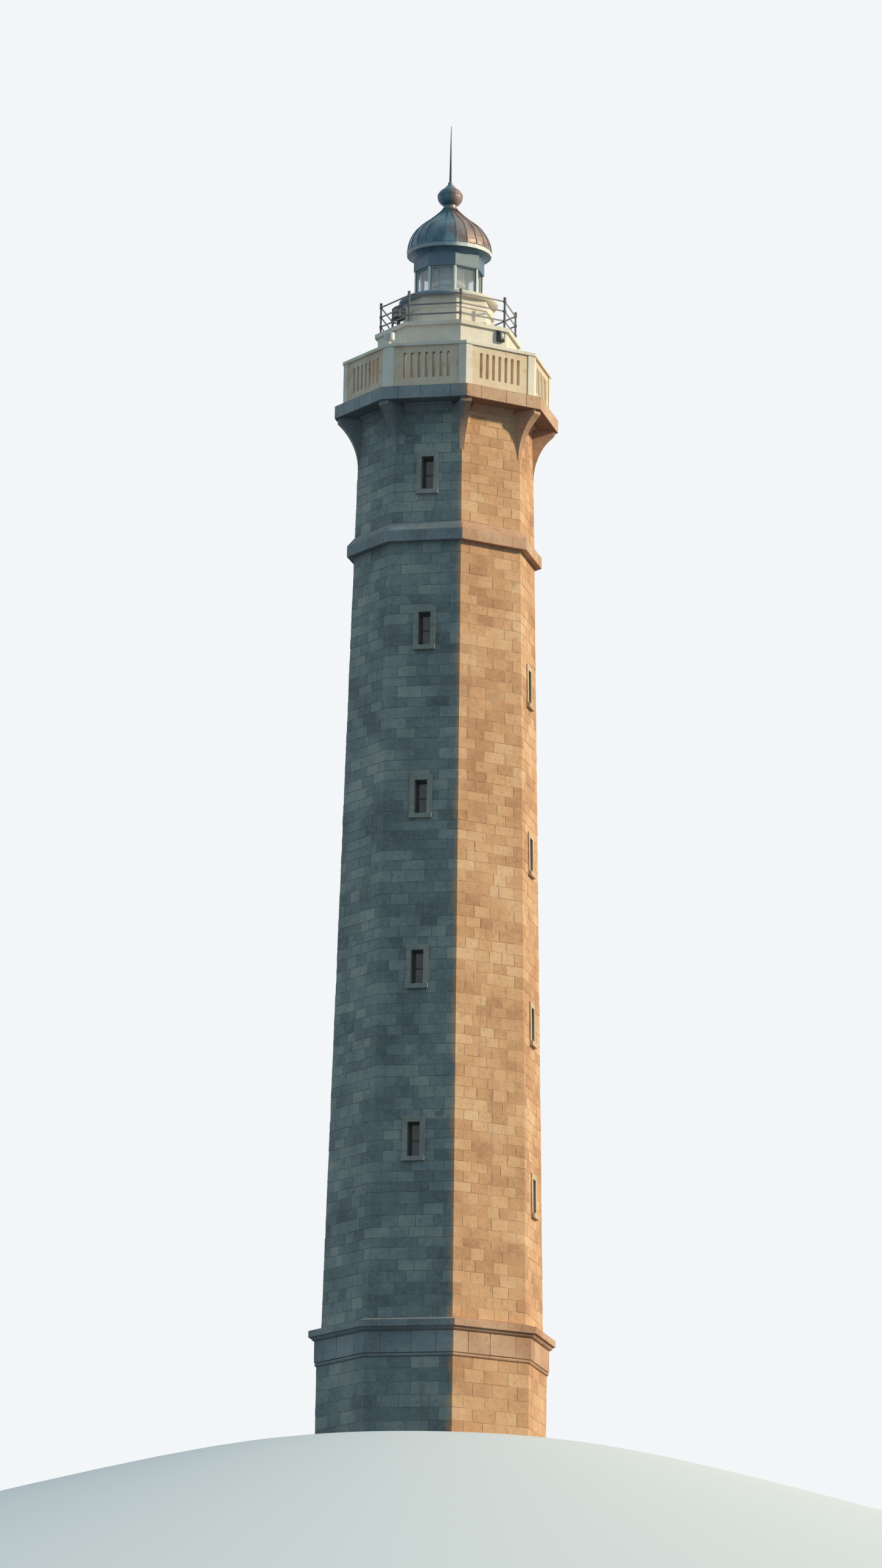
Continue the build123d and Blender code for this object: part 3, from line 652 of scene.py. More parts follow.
@dataclass(frozen=True)
class Paint(Finish):
    """Oil paint on iron: faded in clouds, chalked, with rust spots."""

    name: str
    slot: str
    coat: Colour
    faded: Colour
    # Painted shade colour for the shaded sides, where the paint has one.
    damp: Colour | None = None
    clouds: Pattern = Pattern(3.0, 5.0, 0.6)
    cloud_edge: Mask = Mask(0.35, 0.7)
    rust: Colour = tone(116, 66, 40)
    rust_share: float = 0.1
    spots: Pattern = Pattern(11.0, 7.0, 0.7)
    spot_edge: Mask = Mask(0.7, 0.74)
    spot_cover: float = 0.8
    spot_rise: float = 0.5
    brush: Pattern = Pattern(38.0, 4.0)
    relief: float = 0.0012
    gloss: float = 0.42
    rust_roughness: float = 0.35
    cloud_roughness: float = 0.12

    def build(self, shader: Shader) -> None:
        """Adds the finish's nodes.

        Args:
            shader: The material's empty tree.
        """
        clouds = shader.noise(self.clouds)
        coat = shader.mix(shader.mask(clouds, self.cloud_edge), self.coat, self.faded)
        edge = replace(self.spot_edge, start=self.spot_edge.start - self.rust_share)
        spots = shader.mask(shader.noise(self.spots), edge)
        # The coat takes its painted shade colour on the shaded sides.
        shader.surface({
            "Base Color": shader.mix(spots * self.spot_cover, shader.with_painted_shade(coat, self.damp), self.rust),
            "Roughness": self.gloss + spots * self.rust_roughness + clouds * self.cloud_roughness,
            "Normal": shader.bump(shader.noise(self.brush) + spots * self.spot_rise, self.relief),
        })


@dataclass(frozen=True)
class PaintedBoards(Finish):
    """Painted timber with its grain showing through."""

    name: str = "painted_boards"
    slot: str = "door_timber"
    coat: Colour = tone(62, 84, 76)
    bare: Colour = tone(120, 106, 84)
    grain: Pattern = Pattern(60.0, 5.0, 0.65, 0.05)
    wear: Pattern = Pattern(5.0, 6.0, 0.7, 0.3)
    wear_edge: Mask = Mask(0.6, 0.74)
    wear_share: float = 0.7
    relief: float = 0.0015
    roughness: float = 0.5
    wear_roughness: float = 0.3

    def build(self, shader: Shader) -> None:
        """Adds the finish's nodes.

        Args:
            shader: The material's empty tree.
        """
        wear = shader.mask(shader.noise(self.wear), self.wear_edge)
        shader.surface({
            "Base Color": shader.mix(wear * self.wear_share, self.coat, self.bare),
            "Roughness": self.roughness + wear * self.wear_roughness,
            "Normal": shader.bump(shader.noise(self.grain), self.relief),
        })


@dataclass(frozen=True)
class Glass(Finish):
    """Clear or tinted glass with salt haze."""

    name: str
    slot: str
    tint: Colour
    haze: float
    transmission: float
    alpha: float = 1.0
    salt: Pattern = Pattern(5.0, 6.0, 0.7, 0.5)
    salt_colour: Colour = tone(206, 214, 208)
    salt_share: float = 0.3
    ripple: Pattern = Pattern(6.0, 2.0)
    relief: float = 0.0006
    bending: float = 1.5

    def build(self, shader: Shader) -> None:
        """Adds the finish's nodes.

        Args:
            shader: The material's empty tree.
        """
        salt = shader.noise(self.salt)
        shader.surface({
            "Base Color": shader.mix(salt * self.salt_share, self.tint, self.salt_colour),
            "Roughness": self.haze + salt * self.haze,
            "Transmission Weight": self.transmission,
            "IOR": self.bending,
            "Alpha": self.alpha,
            "Normal": shader.bump(shader.noise(self.ripple), self.relief),
        })


@dataclass(frozen=True)
class Brass(Finish):
    """Dulled brass with darker handling marks."""

    name: str = "dulled_brass"
    slot: str = "lens_brass"
    bright: Colour = tone(190, 154, 88)
    dull: Colour = tone(118, 92, 52)
    clouds: Pattern = Pattern(6.0, 5.0, 0.6)
    cloud_edge: Mask = Mask(0.35, 0.7)
    scratches: Pattern = Pattern(70.0, 2.0)
    relief: float = 0.0006
    roughness: float = 0.26
    cloud_roughness: float = 0.25

    def build(self, shader: Shader) -> None:
        """Adds the finish's nodes.

        Args:
            shader: The material's empty tree.
        """
        clouds = shader.noise(self.clouds)
        shader.surface({
            "Base Color": shader.mix(shader.mask(clouds, self.cloud_edge), self.bright, self.dull),
            "Metallic": 1.0,
            "Roughness": self.roughness + clouds * self.cloud_roughness,
            "Normal": shader.bump(shader.noise(self.scratches), self.relief),
        })


ASHLAR = Granite("granite_ashlar")
DRESSED = Granite(
    "granite_dressed", buff=(tone(168, 122, 92), tone(198, 154, 124), tone(216, 180, 150)),
    grey=(tone(106, 118, 122), tone(134, 146, 150), tone(160, 168, 168)), stone_change=0.3, relief=0.005)
BRACKET_STONE = replace(DRESSED, name="granite_bracket", beds=0.36)
# Painted shade: a darker stone for the gallery deck, standing in for the shade under its overhang.
SHADED_DECK_STONE = replace(
    DRESSED, name="granite_deck_painted_shade", buff=(tone(112, 80, 60), tone(136, 102, 78), tone(158, 124, 98)),
    grey=(tone(70, 82, 88), tone(92, 104, 110), tone(116, 126, 128)))
PALE_STONE = Granite(
    "granite_pale", buff=(tone(196, 168, 136), tone(210, 184, 152), tone(222, 200, 172)),
    grey=(tone(134, 138, 130), tone(150, 152, 144), tone(166, 166, 154)), stone_change=0.3, relief=0.003)
MORTAR = Mortar()
LIMEWASH = Limewash()
WORN_WASH = Limewash(
    "worn_limewash", wash=tone(232, 212, 184), aged=tone(222, 194, 162), under=tone(200, 154, 120), worn=0.3)
# The sill gets painted shade on the shaded sides.
SILL_WASH = Limewash("sill_limewash", damp=tone(130, 150, 156))
COPPER = WeatheredCopper()
BOARDS = PaintedBoards()
BRASS = Brass()
DARK_PAINT = Paint("dark_paint", "painted_iron", tone(46, 50, 58), tone(74, 76, 80))
SASH_PAINT = Paint("sash_paint", "dark_iron", tone(40, 42, 44), tone(60, 60, 60))
GREY_PAINT = Paint(
    "grey_paint", "grey_iron", tone(77, 108, 125), tone(92, 116, 129), rust_share=0.04, gloss=0.4)
RAIL_PAINT = Paint("rail_paint", "painted_iron", tone(98, 96, 102), tone(122, 116, 116), rust_share=0.12)
WHITE_PAINT = Paint("white_paint", "white_iron", tone(232, 233, 226), tone(212, 211, 200), rust_share=0.03)
# The gutter gets painted shade on the shaded sides.
GUTTER_PAINT = replace(WHITE_PAINT, name="gutter_paint", damp=tone(136, 152, 158))
ROD_IRON = Paint("rod_iron_bare", "rod_iron", tone(86, 78, 70), tone(64, 58, 54), rust_share=0.2)
PANE_GLASS = Glass("window_glass_dim", "window_glass", tone(34, 46, 52), haze=0.08, transmission=0.3)
LANTERN_GLASS = Glass(
    "lantern_glass_clear", "window_glass", tone(234, 244, 250), haze=0.03, transmission=0.4, alpha=0.27)
LENS_GLASS = Glass("lens_glass_cut", "lens_glass", tone(242, 250, 252), haze=0.08, transmission=0.2)
LAMP_GLASS = Glass("lamp_glass_frosted", "lens_glass", tone(228, 232, 226), haze=0.2, transmission=0.5)


def dress(finish: Finish, *nodes: str) -> None:
    """Gives CAD nodes a finish.

    Args:
        finish: The finish.
        nodes: Names of the nodes.
    """
    for name in nodes:
        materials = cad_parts[name].data.materials
        materials.clear()
        materials.append(finish.material())
        LOG.info("dressed %s in %s", name, finish.name)


def add_object(name: str, data: bpy.types.ID) -> bpy.types.Object:
    """Puts a mesh, lamp or camera into the scene.

    Args:
        name: The object's name.
        data: What it shows.

    Returns:
        The object.
    """
    made = bpy.data.objects.new(name, data)
    bpy.context.scene.collection.objects.link(made)
    return made


def add_piece(name: str, work: Work, finish: Finish) -> None:
    """Adds a finished piece that rides on the tower.

    Args:
        name: The piece's name.
        work: Its working mesh, in place.
        finish: Its finish.
    """
    mesh = mesh_from(name, work)
    mesh.materials.append(finish.material())
    piece = add_object(name, mesh)
    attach(piece, BODY)
    LOG.info("made %s with %d faces in %s", name, len(mesh.polygons), finish.name)


def mesh_from(name: str, work: Work) -> bpy.types.Mesh:
    """Turns a working mesh into a finished one and frees it.

    Args:
        name: The mesh's name.
        work: The working mesh.

    Returns:
        The mesh.
    """
    bmesh.ops.recalc_face_normals(work, faces=work.faces)
    mesh = bpy.data.meshes.new(name)
    work.to_mesh(mesh)
    work.free()
    return mesh


def side_spin(side: float) -> Matrix:
    """Rotation from the south side to another one, or to the corner half a side on."""
    return Matrix.Rotation(side * TURN, 4, "Z")


def side_point(side: float, face: float, share: float, height: float) -> Vector:
    """Point on a side of an octagon.

    Args:
        side: The side's number.
        face: Distance from the axis to the side.
        share: Place along the side, from -1 at its left corner to 1 at its right one.
        height: Height above the ground.

    Returns:
        The point.
    """
    return side_spin(side) @ Vector((share * face * math.tan(HALF_TURN), -face, height))


def angles(count: int, shift: float = 0.0) -> list[float]:
    """Evenly spaced angles round a circle, moved on by a share of a step."""
    return [math.tau * (n + shift) / count for n in range(count)]


def around(angle: float) -> Vector:
    """Level direction at an angle from +X."""
    return Vector((math.cos(angle), math.sin(angle), 0))


def corner_directions() -> list[Vector]:
    """Level directions from the axis to the tower's eight corners."""
    return [side_spin(number + 0.5) @ OUT for number in range(SIDES)]


def loft(work: Work, rings: Sequence[Sequence[Vector]], closed: bool = False) -> None:
    """Joins rings of points, and caps the two ends.

    Args:
        work: The working mesh.
        rings: Rings of equally many points.
        closed: Whether the last ring joins the first, with no caps.
    """
    made = [[work.verts.new(point) for point in ring] for ring in rings]
    pairs = list(zip(made, made[1:]))
    if closed:
        pairs.append((made[-1], made[0]))
    else:
        work.faces.new(made[0])
        work.faces.new(made[-1])
    for lower, upper in pairs:
        for n, corner in enumerate(lower):
            m = (n + 1) % len(lower)
            work.faces.new((corner, lower[m], upper[m], upper[n]))


def add_turned(work: Work, outline: Sequence[Pair], sides: int, place: Vector = AXIS) -> None:
    """Adds a piece turned round an upright axis.

    Args:
        work: The working mesh.
        outline: Radius and height of each point, from the foot to the top.
        sides: Number of sides.
        place: Where the axis stands.
    """
    loft(work, [
        [place + around(a) * radius + UP * height for a in angles(sides, 0.5)] for radius, height in outline])


@dataclass(frozen=True)
class Bar:
    """A straight flat bar with bevelled long edges."""

    width: float
    depth: float
    bevel: float = 0.002

    def add(self, work: Work, start: Vector, end: Vector, out: Vector) -> None:
        """Adds the bar.

        Args:
            work: The working mesh.
            start: Middle of its first end, on the face that it lies on.
            end: Middle of its other end.
            out: Direction that its depth stands out in.
        """
        along = (end - start).normalized()
        out = (out - along * out.dot(along)).normalized()
        across = along.cross(out)
        half, shoulder = self.width / 2, self.depth - self.bevel
        flat = half - self.bevel
        section = [
            (-half, 0.0), (-half, shoulder), (-flat, self.depth),
            (flat, self.depth), (half, shoulder), (half, 0.0)]
        loft(work, [[middle + across * a + out * o for a, o in section] for middle in (start, end)])


@dataclass(frozen=True)
class Head:
    """The domed head of a bolt or rivet, with an outline in shares of its radius and rise."""

    radius: float
    rise: float
    sides: int = 8
    outline: tuple[Pair, ...] = ((1.0, -0.2), (1.0, 0.45), (0.72, 0.85), (0.3, 1.0))

    def add(self, work: Work, place: Vector, out: Vector) -> None:
        """Adds the head.

        Args:
            work: The working mesh.
            place: Its middle, on the face that it sits on.
            out: Direction that it stands out in.
        """
        out = out.normalized()
        across = out.orthogonal().normalized()
        up = out.cross(across)
        loft(work, [
            [
                place + out * (self.rise * share)
                + (across * math.cos(a) + up * math.sin(a)) * (self.radius * reach)
                for a in angles(self.sides)]
            for reach, share in self.outline])

    def rows(self, face: float, flats: int, each: int, heights: Sequence[float]) -> Work:
        """Sets heads in level rows on the flats of an upright ring.

        Args:
            face: Distance from the axis to a flat.
            flats: Number of flats round the ring.
            each: Heads on one flat in one row.
            heights: Height of each row.

        Returns:
            The working mesh.
        """
        half = face * math.tan(math.pi / flats)
        work = bmesh.new()
        for a in angles(flats):
            spin = Matrix.Rotation(a, 4, "Z")
            for height in heights:
                for n in range(each):
                    spot = Vector((half * (2 * (n + 0.5) / each - 1), -face, height))
                    self.add(work, spin @ spot, spin @ OUT)
        return work


@dataclass(frozen=True)
class Hoop:
    """A hoop of round wire, level or standing with its axis toward +Y."""

    wire: float
    sides: int = 48
    wire_sides: int = 8
    shift: float = 0.5
    level: bool = True

    def add(self, work: Work, middle: Vector, radius: float) -> None:
        """Adds the hoop.

        Args:
            work: The working mesh.
            middle: The hoop's middle.
            radius: Its radius, to the middle of the wire.
        """
        rings = []
        for a in angles(self.sides, self.shift):
            out = around(a) if self.level else Vector((math.cos(a), 0, math.sin(a)))
            axis = UP if self.level else -OUT
            rings.append([
                middle + out * (radius + self.wire * math.cos(b)) + axis * (self.wire * math.sin(b))
                for b in angles(self.wire_sides)])
        loft(work, rings, closed=True)


def points_of(node: str) -> list[Vector]:
    """Places of a node's vertices."""
    return [vertex.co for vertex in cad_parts[node].data.vertices]


def extent(points: Sequence[Vector]) -> Box:
    """Lowest and highest corner of the box round some points."""
    return tuple(Vector(pick(p[axis] for p in points) for axis in range(3)) for pick in (min, max))


def face_of(node: str) -> float:
    """Distance from the axis to the east side of an octagonal node."""
    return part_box(node)[1].x


def heights_of(node: str) -> Pair:
    """Lowest and highest point of a node."""
    low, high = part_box(node)
    return low.z, high.z


def upright_of(node: str) -> Pair:
    """Finds where the outermost face of an octagonal node stands upright.

    Args:
        node: The node's name.

    Returns:
        The lowest and highest point of that face.
    """
    face = face_of(node)
    heights = [point.z for point in points_of(node) if point.x > face - TOUCH]
    return min(heights), max(heights)


def profile_of(node: str) -> list[Pair]:
    """Outline of a turned node.

    Args:
        node: The node's name.

    Returns:
        Radius and height of its outermost point at each height, from the foot to the top.
    """
    reach: dict[float, float] = {}
    for point in points_of(node):
        height = round(point.z, 3)
        reach[height] = max(reach.get(height, 0.0), math.hypot(point.x, point.y))
    return [(radius, height) for height, radius in sorted(reach.items())]


def islands(node: str) -> list[Box]:
    """Boxes of the separate solids of a node.

    Args:
        node: The node's name.

    Returns:
        The lowest and highest corner of each solid.
    """
    work = bmesh.new()
    work.from_mesh(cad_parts[node].data)
    bmesh.ops.remove_doubles(work, verts=work.verts, dist=WELD)
    boxes = []
    unseen = set(work.verts)
    while unseen:
        edge = [unseen.pop()]
        found = list(edge)
        while edge:
            vert = edge.pop()
            near = [link.other_vert(vert) for link in vert.link_edges]
            new = [other for other in near if other in unseen]
            unseen.difference_update(new)
            edge += new
            found += new
        boxes.append(extent([vert.co for vert in found]))
    work.free()
    return sorted(boxes, key=lambda box: tuple(box[0]))


@dataclass(frozen=True)
class Gap:
    """Rectangle on one side that its stones leave free."""

    side: int
    half: float
    low: float
    high: float


@dataclass(frozen=True)
class StoneFace:
    """One stone's face: where it starts and ends round the octagon, and its bed heights.

    The ends are counted in half sides, so 2 * side is a side's middle and odd whole numbers are corners.
    """

    start: float
    end: float
    low: float
    high: float


@dataclass
class AshlarBand:
    """Coursed stones over one band of the tower, from one octagon at its foot to another at its top.

    Each stone stands out from the wall, is uneven by the size of rough, and has edges sunk into the wall. A
    facet is the widest flat of a face, and no stone is narrower than least, in half sides.
    """

    name: str
    foot: float
    top: float
    foot_face: float
    top_face: float
    course: float = 0.38
    length: float = 0.54
    arms: Pair = (0.58, 0.30)
    course_change: float = 0.12
    length_change: float = 0.16
    joint: float = 0.008
    bevel: float = 0.006
    stand: float = 0.0065
    sunk: float = 0.004
    rough: float = 0.004
    facet: float = 0.24
    least: float = 0.02
    seed: int = 1
    gaps: list[Gap] = field(default_factory=list)
    finish: Finish = ASHLAR

    def face(self, height: float) -> float:
        """Distance from the axis to the wall at a height."""
        share = (height - self.foot) / (self.top - self.foot)
        return self.foot_face + share * (self.top_face - self.foot_face)

    def beds(self, chance: random.Random) -> list[float]:
        """Heights of the bed joints, with courses of slightly different heights.

        Args:
            chance: Source of the differences.

        Returns:
            The heights, from foot to top.
        """
        count = max(1, round((self.top - self.foot) / self.course))
        weights = [chance.uniform(1 - self.course_change, 1 + self.course_change) for _ in range(count)]
        heights = [self.foot]
        for weight in weights:
            heights.append(heights[-1] + weight * (self.top - self.foot) / sum(weights))
        return heights

    def course_stones(
        self, low: float, high: float, flip: bool, chance: random.Random,
    ) -> Iterator[StoneFace]:
        """Stones of one course: one round each corner, with a long and a short arm, and those between.

        Args:
            low: The course's lower bed.
            high: Its upper bed.
            flip: Whether the arms swap sides, so that the corner bonds with the next course.
            chance: Source of the lengths.

        Yields:
            Each stone.
        """
        half = self.face((low + high) / 2) * math.tan(HALF_TURN)
        before, after = (arm / half for arm in (self.arms if flip else self.arms[::-1]))
        for side in range(SIDES):
            corner = 2 * side + 1
            yield StoneFace(corner - before, corner + after, low, high)
            start, end = 2 * side - 1 + after, corner - before
            count = max(1, round((end - start) * half / self.length))
            shifts = [chance.uniform(-self.length_change, self.length_change) for _ in range(1, count)]
            cuts = [start + (end - start) * (n + shift) / count for n, shift in enumerate(shifts, start=1)]
            ends = [start, *cuts, end]
            for first, last in zip(ends, ends[1:]):
                yield from self.around_gaps(StoneFace(first, last, low, high), side, half)

    def around_gaps(self, stone: StoneFace, side: int, half: float) -> Iterator[StoneFace]:
        """What is left of a stone beside, over and under the gaps of its side.

        Args:
            stone: The whole stone.
            side: The side that it lies on.
            half: Half the side's length at this course.

        Yields:
            Each part that is left.
        """
        for gap in self.gaps:
            left, right = 2 * side - gap.half / half, 2 * side + gap.half / half
            over_or_under = gap.low >= stone.high or gap.high <= stone.low
            if gap.side != side or over_or_under or left >= stone.end or right <= stone.start:
                continue
            if stone.start < left:
                yield StoneFace(stone.start, left, stone.low, stone.high)
            if stone.end > right:
                yield StoneFace(right, stone.end, stone.low, stone.high)
            middle = max(stone.start, left), min(stone.end, right)
            if stone.low < gap.low:
                yield StoneFace(*middle, stone.low, gap.low)
            if stone.high > gap.high:
                yield StoneFace(*middle, gap.high, stone.high)
            return
        yield stone

    def point(self, turn: float, height: float, stand: float) -> Vector:
        """Point on the band, at a place in half sides, a height and a distance out from the wall."""
        side = round(turn / 2)
        return side_point(side, self.face(height) + stand, turn - 2 * side, height)

    def columns(self, stone: StoneFace) -> list[float]:
        """Where a stone's face has a line of points: its ends, its bevels, the tower's corner and its facets.

        Args:
            stone: The stone.

        Returns:
            The places in half sides, or none where the stone is too narrow.
        """
        half = self.face(stone.low) * math.tan(HALF_TURN)
        margin = self.joint / 2 / half
        start, end = stone.start + margin, stone.end - margin
        inner_start, inner_end = start + self.bevel / half, end - self.bevel / half
        if inner_end - inner_start < self.least:
            return []
        corner = math.floor((stone.start + 1) / 2) * 2 + 1
        count = max(1, round((inner_end - inner_start) * half / self.facet))
        facets = {inner_start + (inner_end - inner_start) * n / count for n in range(1, count)}
        corners = {c for c in (corner - 2, corner) if inner_start < c < inner_end}
        return sorted({start, inner_start, inner_end, end} | corners | facets)

    def add_stone(
        self, work: Work, layer: bmesh.types.BMLayerItem, stone: StoneFace, chance: random.Random,
    ) -> None:
        """Adds one stone with bevelled edges and an uneven face.

        Args:
            work: The working mesh.
            layer: The face layer that holds each stone's tint.
            stone: The stone.
            chance: Source of its unevenness and tint.
        """
        columns = self.columns(stone)
        low, high = stone.low + self.joint / 2, stone.high - self.joint / 2
        if not columns or high - low < 3 * self.bevel:
            return
        rows = [low, low + self.bevel, (low + high) / 2, high - self.bevel, high]
        stand = self.stand + chance.uniform(-self.rough, self.rough)
        grid = []
        for height in rows:
            line = []
            for turn in columns:
                border = height in (low, high) or turn in (columns[0], columns[-1])
                out = -self.sunk if border else stand + chance.uniform(-self.rough, self.rough)
                line.append(work.verts.new(self.point(turn, height, out)))
            grid.append(line)
        tint = chance.random()
        for lower, upper in zip(grid, grid[1:]):
            for n in range(len(columns) - 1):
                work.faces.new((lower[n], lower[n + 1], upper[n + 1], upper[n]))[layer] = tint

    def build(self) -> None:
        """Lays the band's stones as one piece."""
        chance = random.Random(self.seed)
        work = bmesh.new()
        layer = work.faces.layers.float.new(TINT)
        beds = self.beds(chance)
        for number, (low, high) in enumerate(zip(beds, beds[1:])):
            for stone in self.course_stones(low, high, number % 2 == 0, chance):
                self.add_stone(work, layer, stone, chance)
        add_piece(self.name, work, self.finish)


def smooth_band(
    name: str, node: str, length: float, arm: float, joint: float, seed: int, finish: Finish,
) -> AshlarBand:
    """Long smooth stones over the upright face of a moulded course.

    Args:
        name: The piece's name.
        node: The course's node.
        length: Length of the stones.
        arm: How far a corner stone reaches along each side.
        joint: Width of the joints.
        seed: Seed of the small differences.
        finish: The stones' finish.

    Returns:
        The band.
    """
    low, high = upright_of(node)
    return AshlarBand(
        name, low, high, face_of(node), face_of(node), high - low, length, (arm, arm), joint=joint,
        stand=0.003, rough=0.0004, facet=2.0, seed=seed, finish=finish)


@dataclass
class GraniteTower:
    """The base storey and the shaft, with their courses of stone."""

    wall: str = Side.SOUTH.node("shaft_wall_")
    end_slack: float = 0.01
    surround_lap: float = 0.07
    door_headroom: float = 1.0
    shaft_course: float = 0.31
    arm: float = 0.5
    joint: float = 0.01

    def window_gaps(self) -> list[Gap]:
        """The rectangles behind the window surrounds.

        Returns:
            A gap for each sash.
        """
        gaps = []
        for low, high in islands("window_sashes"):
            middle = (low + high) / 2
            side = round(math.atan2(middle.x, -middle.y) / TURN) % SIDES
            half = max(high.x - low.x, high.y - low.y) / 2
            lap = self.surround_lap
            gaps.append(Gap(side, half + lap, low.z - lap, high.z + lap))
        return gaps

    def shaft_face(self, height: float) -> float:
        """Distance from the axis to the shaft's battered face.

        Args:
            height: Height above the ground.

        Returns:
            The distance there.
        """
        foot, top = heights_of(self.wall)
        foot_face, top_face = (
            max(-point.y for point in points_of(self.wall) if abs(point.z - end) < self.end_slack)
            for end in (foot, top))
        return foot_face + (height - foot) / (top - foot) * (top_face - foot_face)

    def shaft_band(self, name: str, foot: float, top: float, seed: int, gaps: list[Gap]) -> AshlarBand:
        """A band of stones on the shaft between two heights."""
        faces = self.shaft_face(foot), self.shaft_face(top)
        return AshlarBand(name, foot, top, *faces, self.shaft_course, seed=seed, gaps=gaps)

    def rough_bands(self) -> list[AshlarBand]:
        """The walls' stones, from the ground to the gallery.

        Returns:
            Their bands.
        """
        base, frieze = face_of("base_wall"), face_of("base_frieze")
        shaft_foot, shaft_top = heights_of(self.wall)
        string_foot, string_top = heights_of("string_course")
        low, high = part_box("entrance_frame")
        doorway = Gap(Side.NORTH.value, (high.x - low.x) / 2, low.z, high.z + self.door_headroom)
        gaps = self.window_gaps()
        return [
            AshlarBand(
                "base_stones", *heights_of("base_wall"), base, base, course=0.36, length=0.62,
                arms=(0.68, 0.38), seed=3, gaps=[doorway]),
            AshlarBand(
                "frieze_stones", *heights_of("base_frieze"), frieze, frieze, course=0.62, length=0.8,
                arms=(self.arm, self.arm), stand=0.012, rough=0.003, seed=4, finish=DRESSED),
            self.shaft_band("lower_shaft_stones", shaft_foot, string_foot, 5, gaps),
            self.shaft_band("upper_shaft_stones", string_top, shaft_top, 6, gaps),
        ]

    def dressed_bands(self) -> list[AshlarBand]:
        """The upright faces of the moulded courses, in long smooth stones.

        Returns:
            Their bands.
        """
        return [
            smooth_band("base_cornice_stones", "base_cornice", 0.9, self.arm, self.joint, 21, DRESSED),
            smooth_band("string_stones", "string_course", 0.8, self.arm, self.joint, 22, DRESSED),
            smooth_band("deck_edge_stones", "gallery_deck", 0.85, self.arm, self.joint, 23, DRESSED),
        ]

    def build(self) -> None:
        """Lays every band and dresses the CAD stones."""
        for band in self.rough_bands() + self.dressed_bands():
            band.build()
        dress(MORTAR, "base_wall", "base_frieze", *(side.node("shaft_wall_") for side in Side))
        dress(DRESSED, "foundation_step", "base_astragal", "base_cornice", "string_course", "bed_moulding")
        # The deck's darker stone is painted shade under its overhang.
        dress(SHADED_DECK_STONE, "gallery_deck")
        dress(BRACKET_STONE, "corner_brackets")
        dress(PALE_STONE, "window_surrounds")
        dress(SASH_PAINT, "window_sashes")
        dress(PANE_GLASS, "window_panes")


@dataclass
class Doors:
    """Ironwork of the two closed doors on the north side.

    The hinges' lowest place and spread are shares of a door's height, and the studs' are shares of a hinge.
    """

    hinge: Bar = Bar(0.05, 0.008, 0.003)
    hinge_margin: float = 0.02
    hinge_end: float = 0.12
    lowest_hinge: float = 0.14
    hinge_spread: float = 0.72
    stud: Head = Head(0.013, 0.007)
    studs: int = 5
    first_stud: float = 0.08
    stud_step: float = 0.21
    plate: Bar = Bar(0.06, 0.006)
    plate_length: float = 0.22
    plate_height: float = 1.02
    plate_margin: float = 0.09
    ring: Hoop = Hoop(0.007, 16, 6, 0.0, level=False)
    ring_radius: float = 0.06
    ring_stand: float = 0.02
    ring_drop: float = 0.02

    def ironwork(self, node: str, hinges: int) -> Work:
        """Strap hinges with studs, a lock plate and a ring handle.

        Args:
            node: The door's node.
            hinges: How many hinges it hangs on.

        Returns:
            The working mesh.
        """
        low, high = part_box(node)
        left, right = low.x + self.hinge_margin, high.x - self.hinge_end
        out = -OUT
        work = bmesh.new()
        for n in range(hinges):
            share = self.lowest_hinge + self.hinge_spread * n / (hinges - 1)
            height = low.z + (high.z - low.z) * share
            self.hinge.add(work, Vector((left, high.y, height)), Vector((right, high.y, height)), out)
            for m in range(self.studs):
                along = left + (right - left) * (self.first_stud + self.stud_step * m)
                self.stud.add(work, Vector((along, high.y + self.hinge.depth, height)), out)
        middle = Vector((high.x - self.plate_margin, high.y, low.z + self.plate_height))
        reach = UP * (self.plate_length / 2)
        self.plate.add(work, middle - reach, middle + reach, out)
        self.ring.add(work, middle + out * self.ring_stand - UP * self.ring_drop, self.ring_radius)
        return work

    def build(self) -> None:
        """Dresses both doors and adds their ironwork."""
        dress(BOARDS, "entrance_frame", "entrance_door", "watch_room_door")
        add_piece("entrance_ironwork", self.ironwork("entrance_door", 3), DARK_PAINT)
        add_piece("watch_room_ironwork", self.ironwork("watch_room_door", 2), DARK_PAINT)


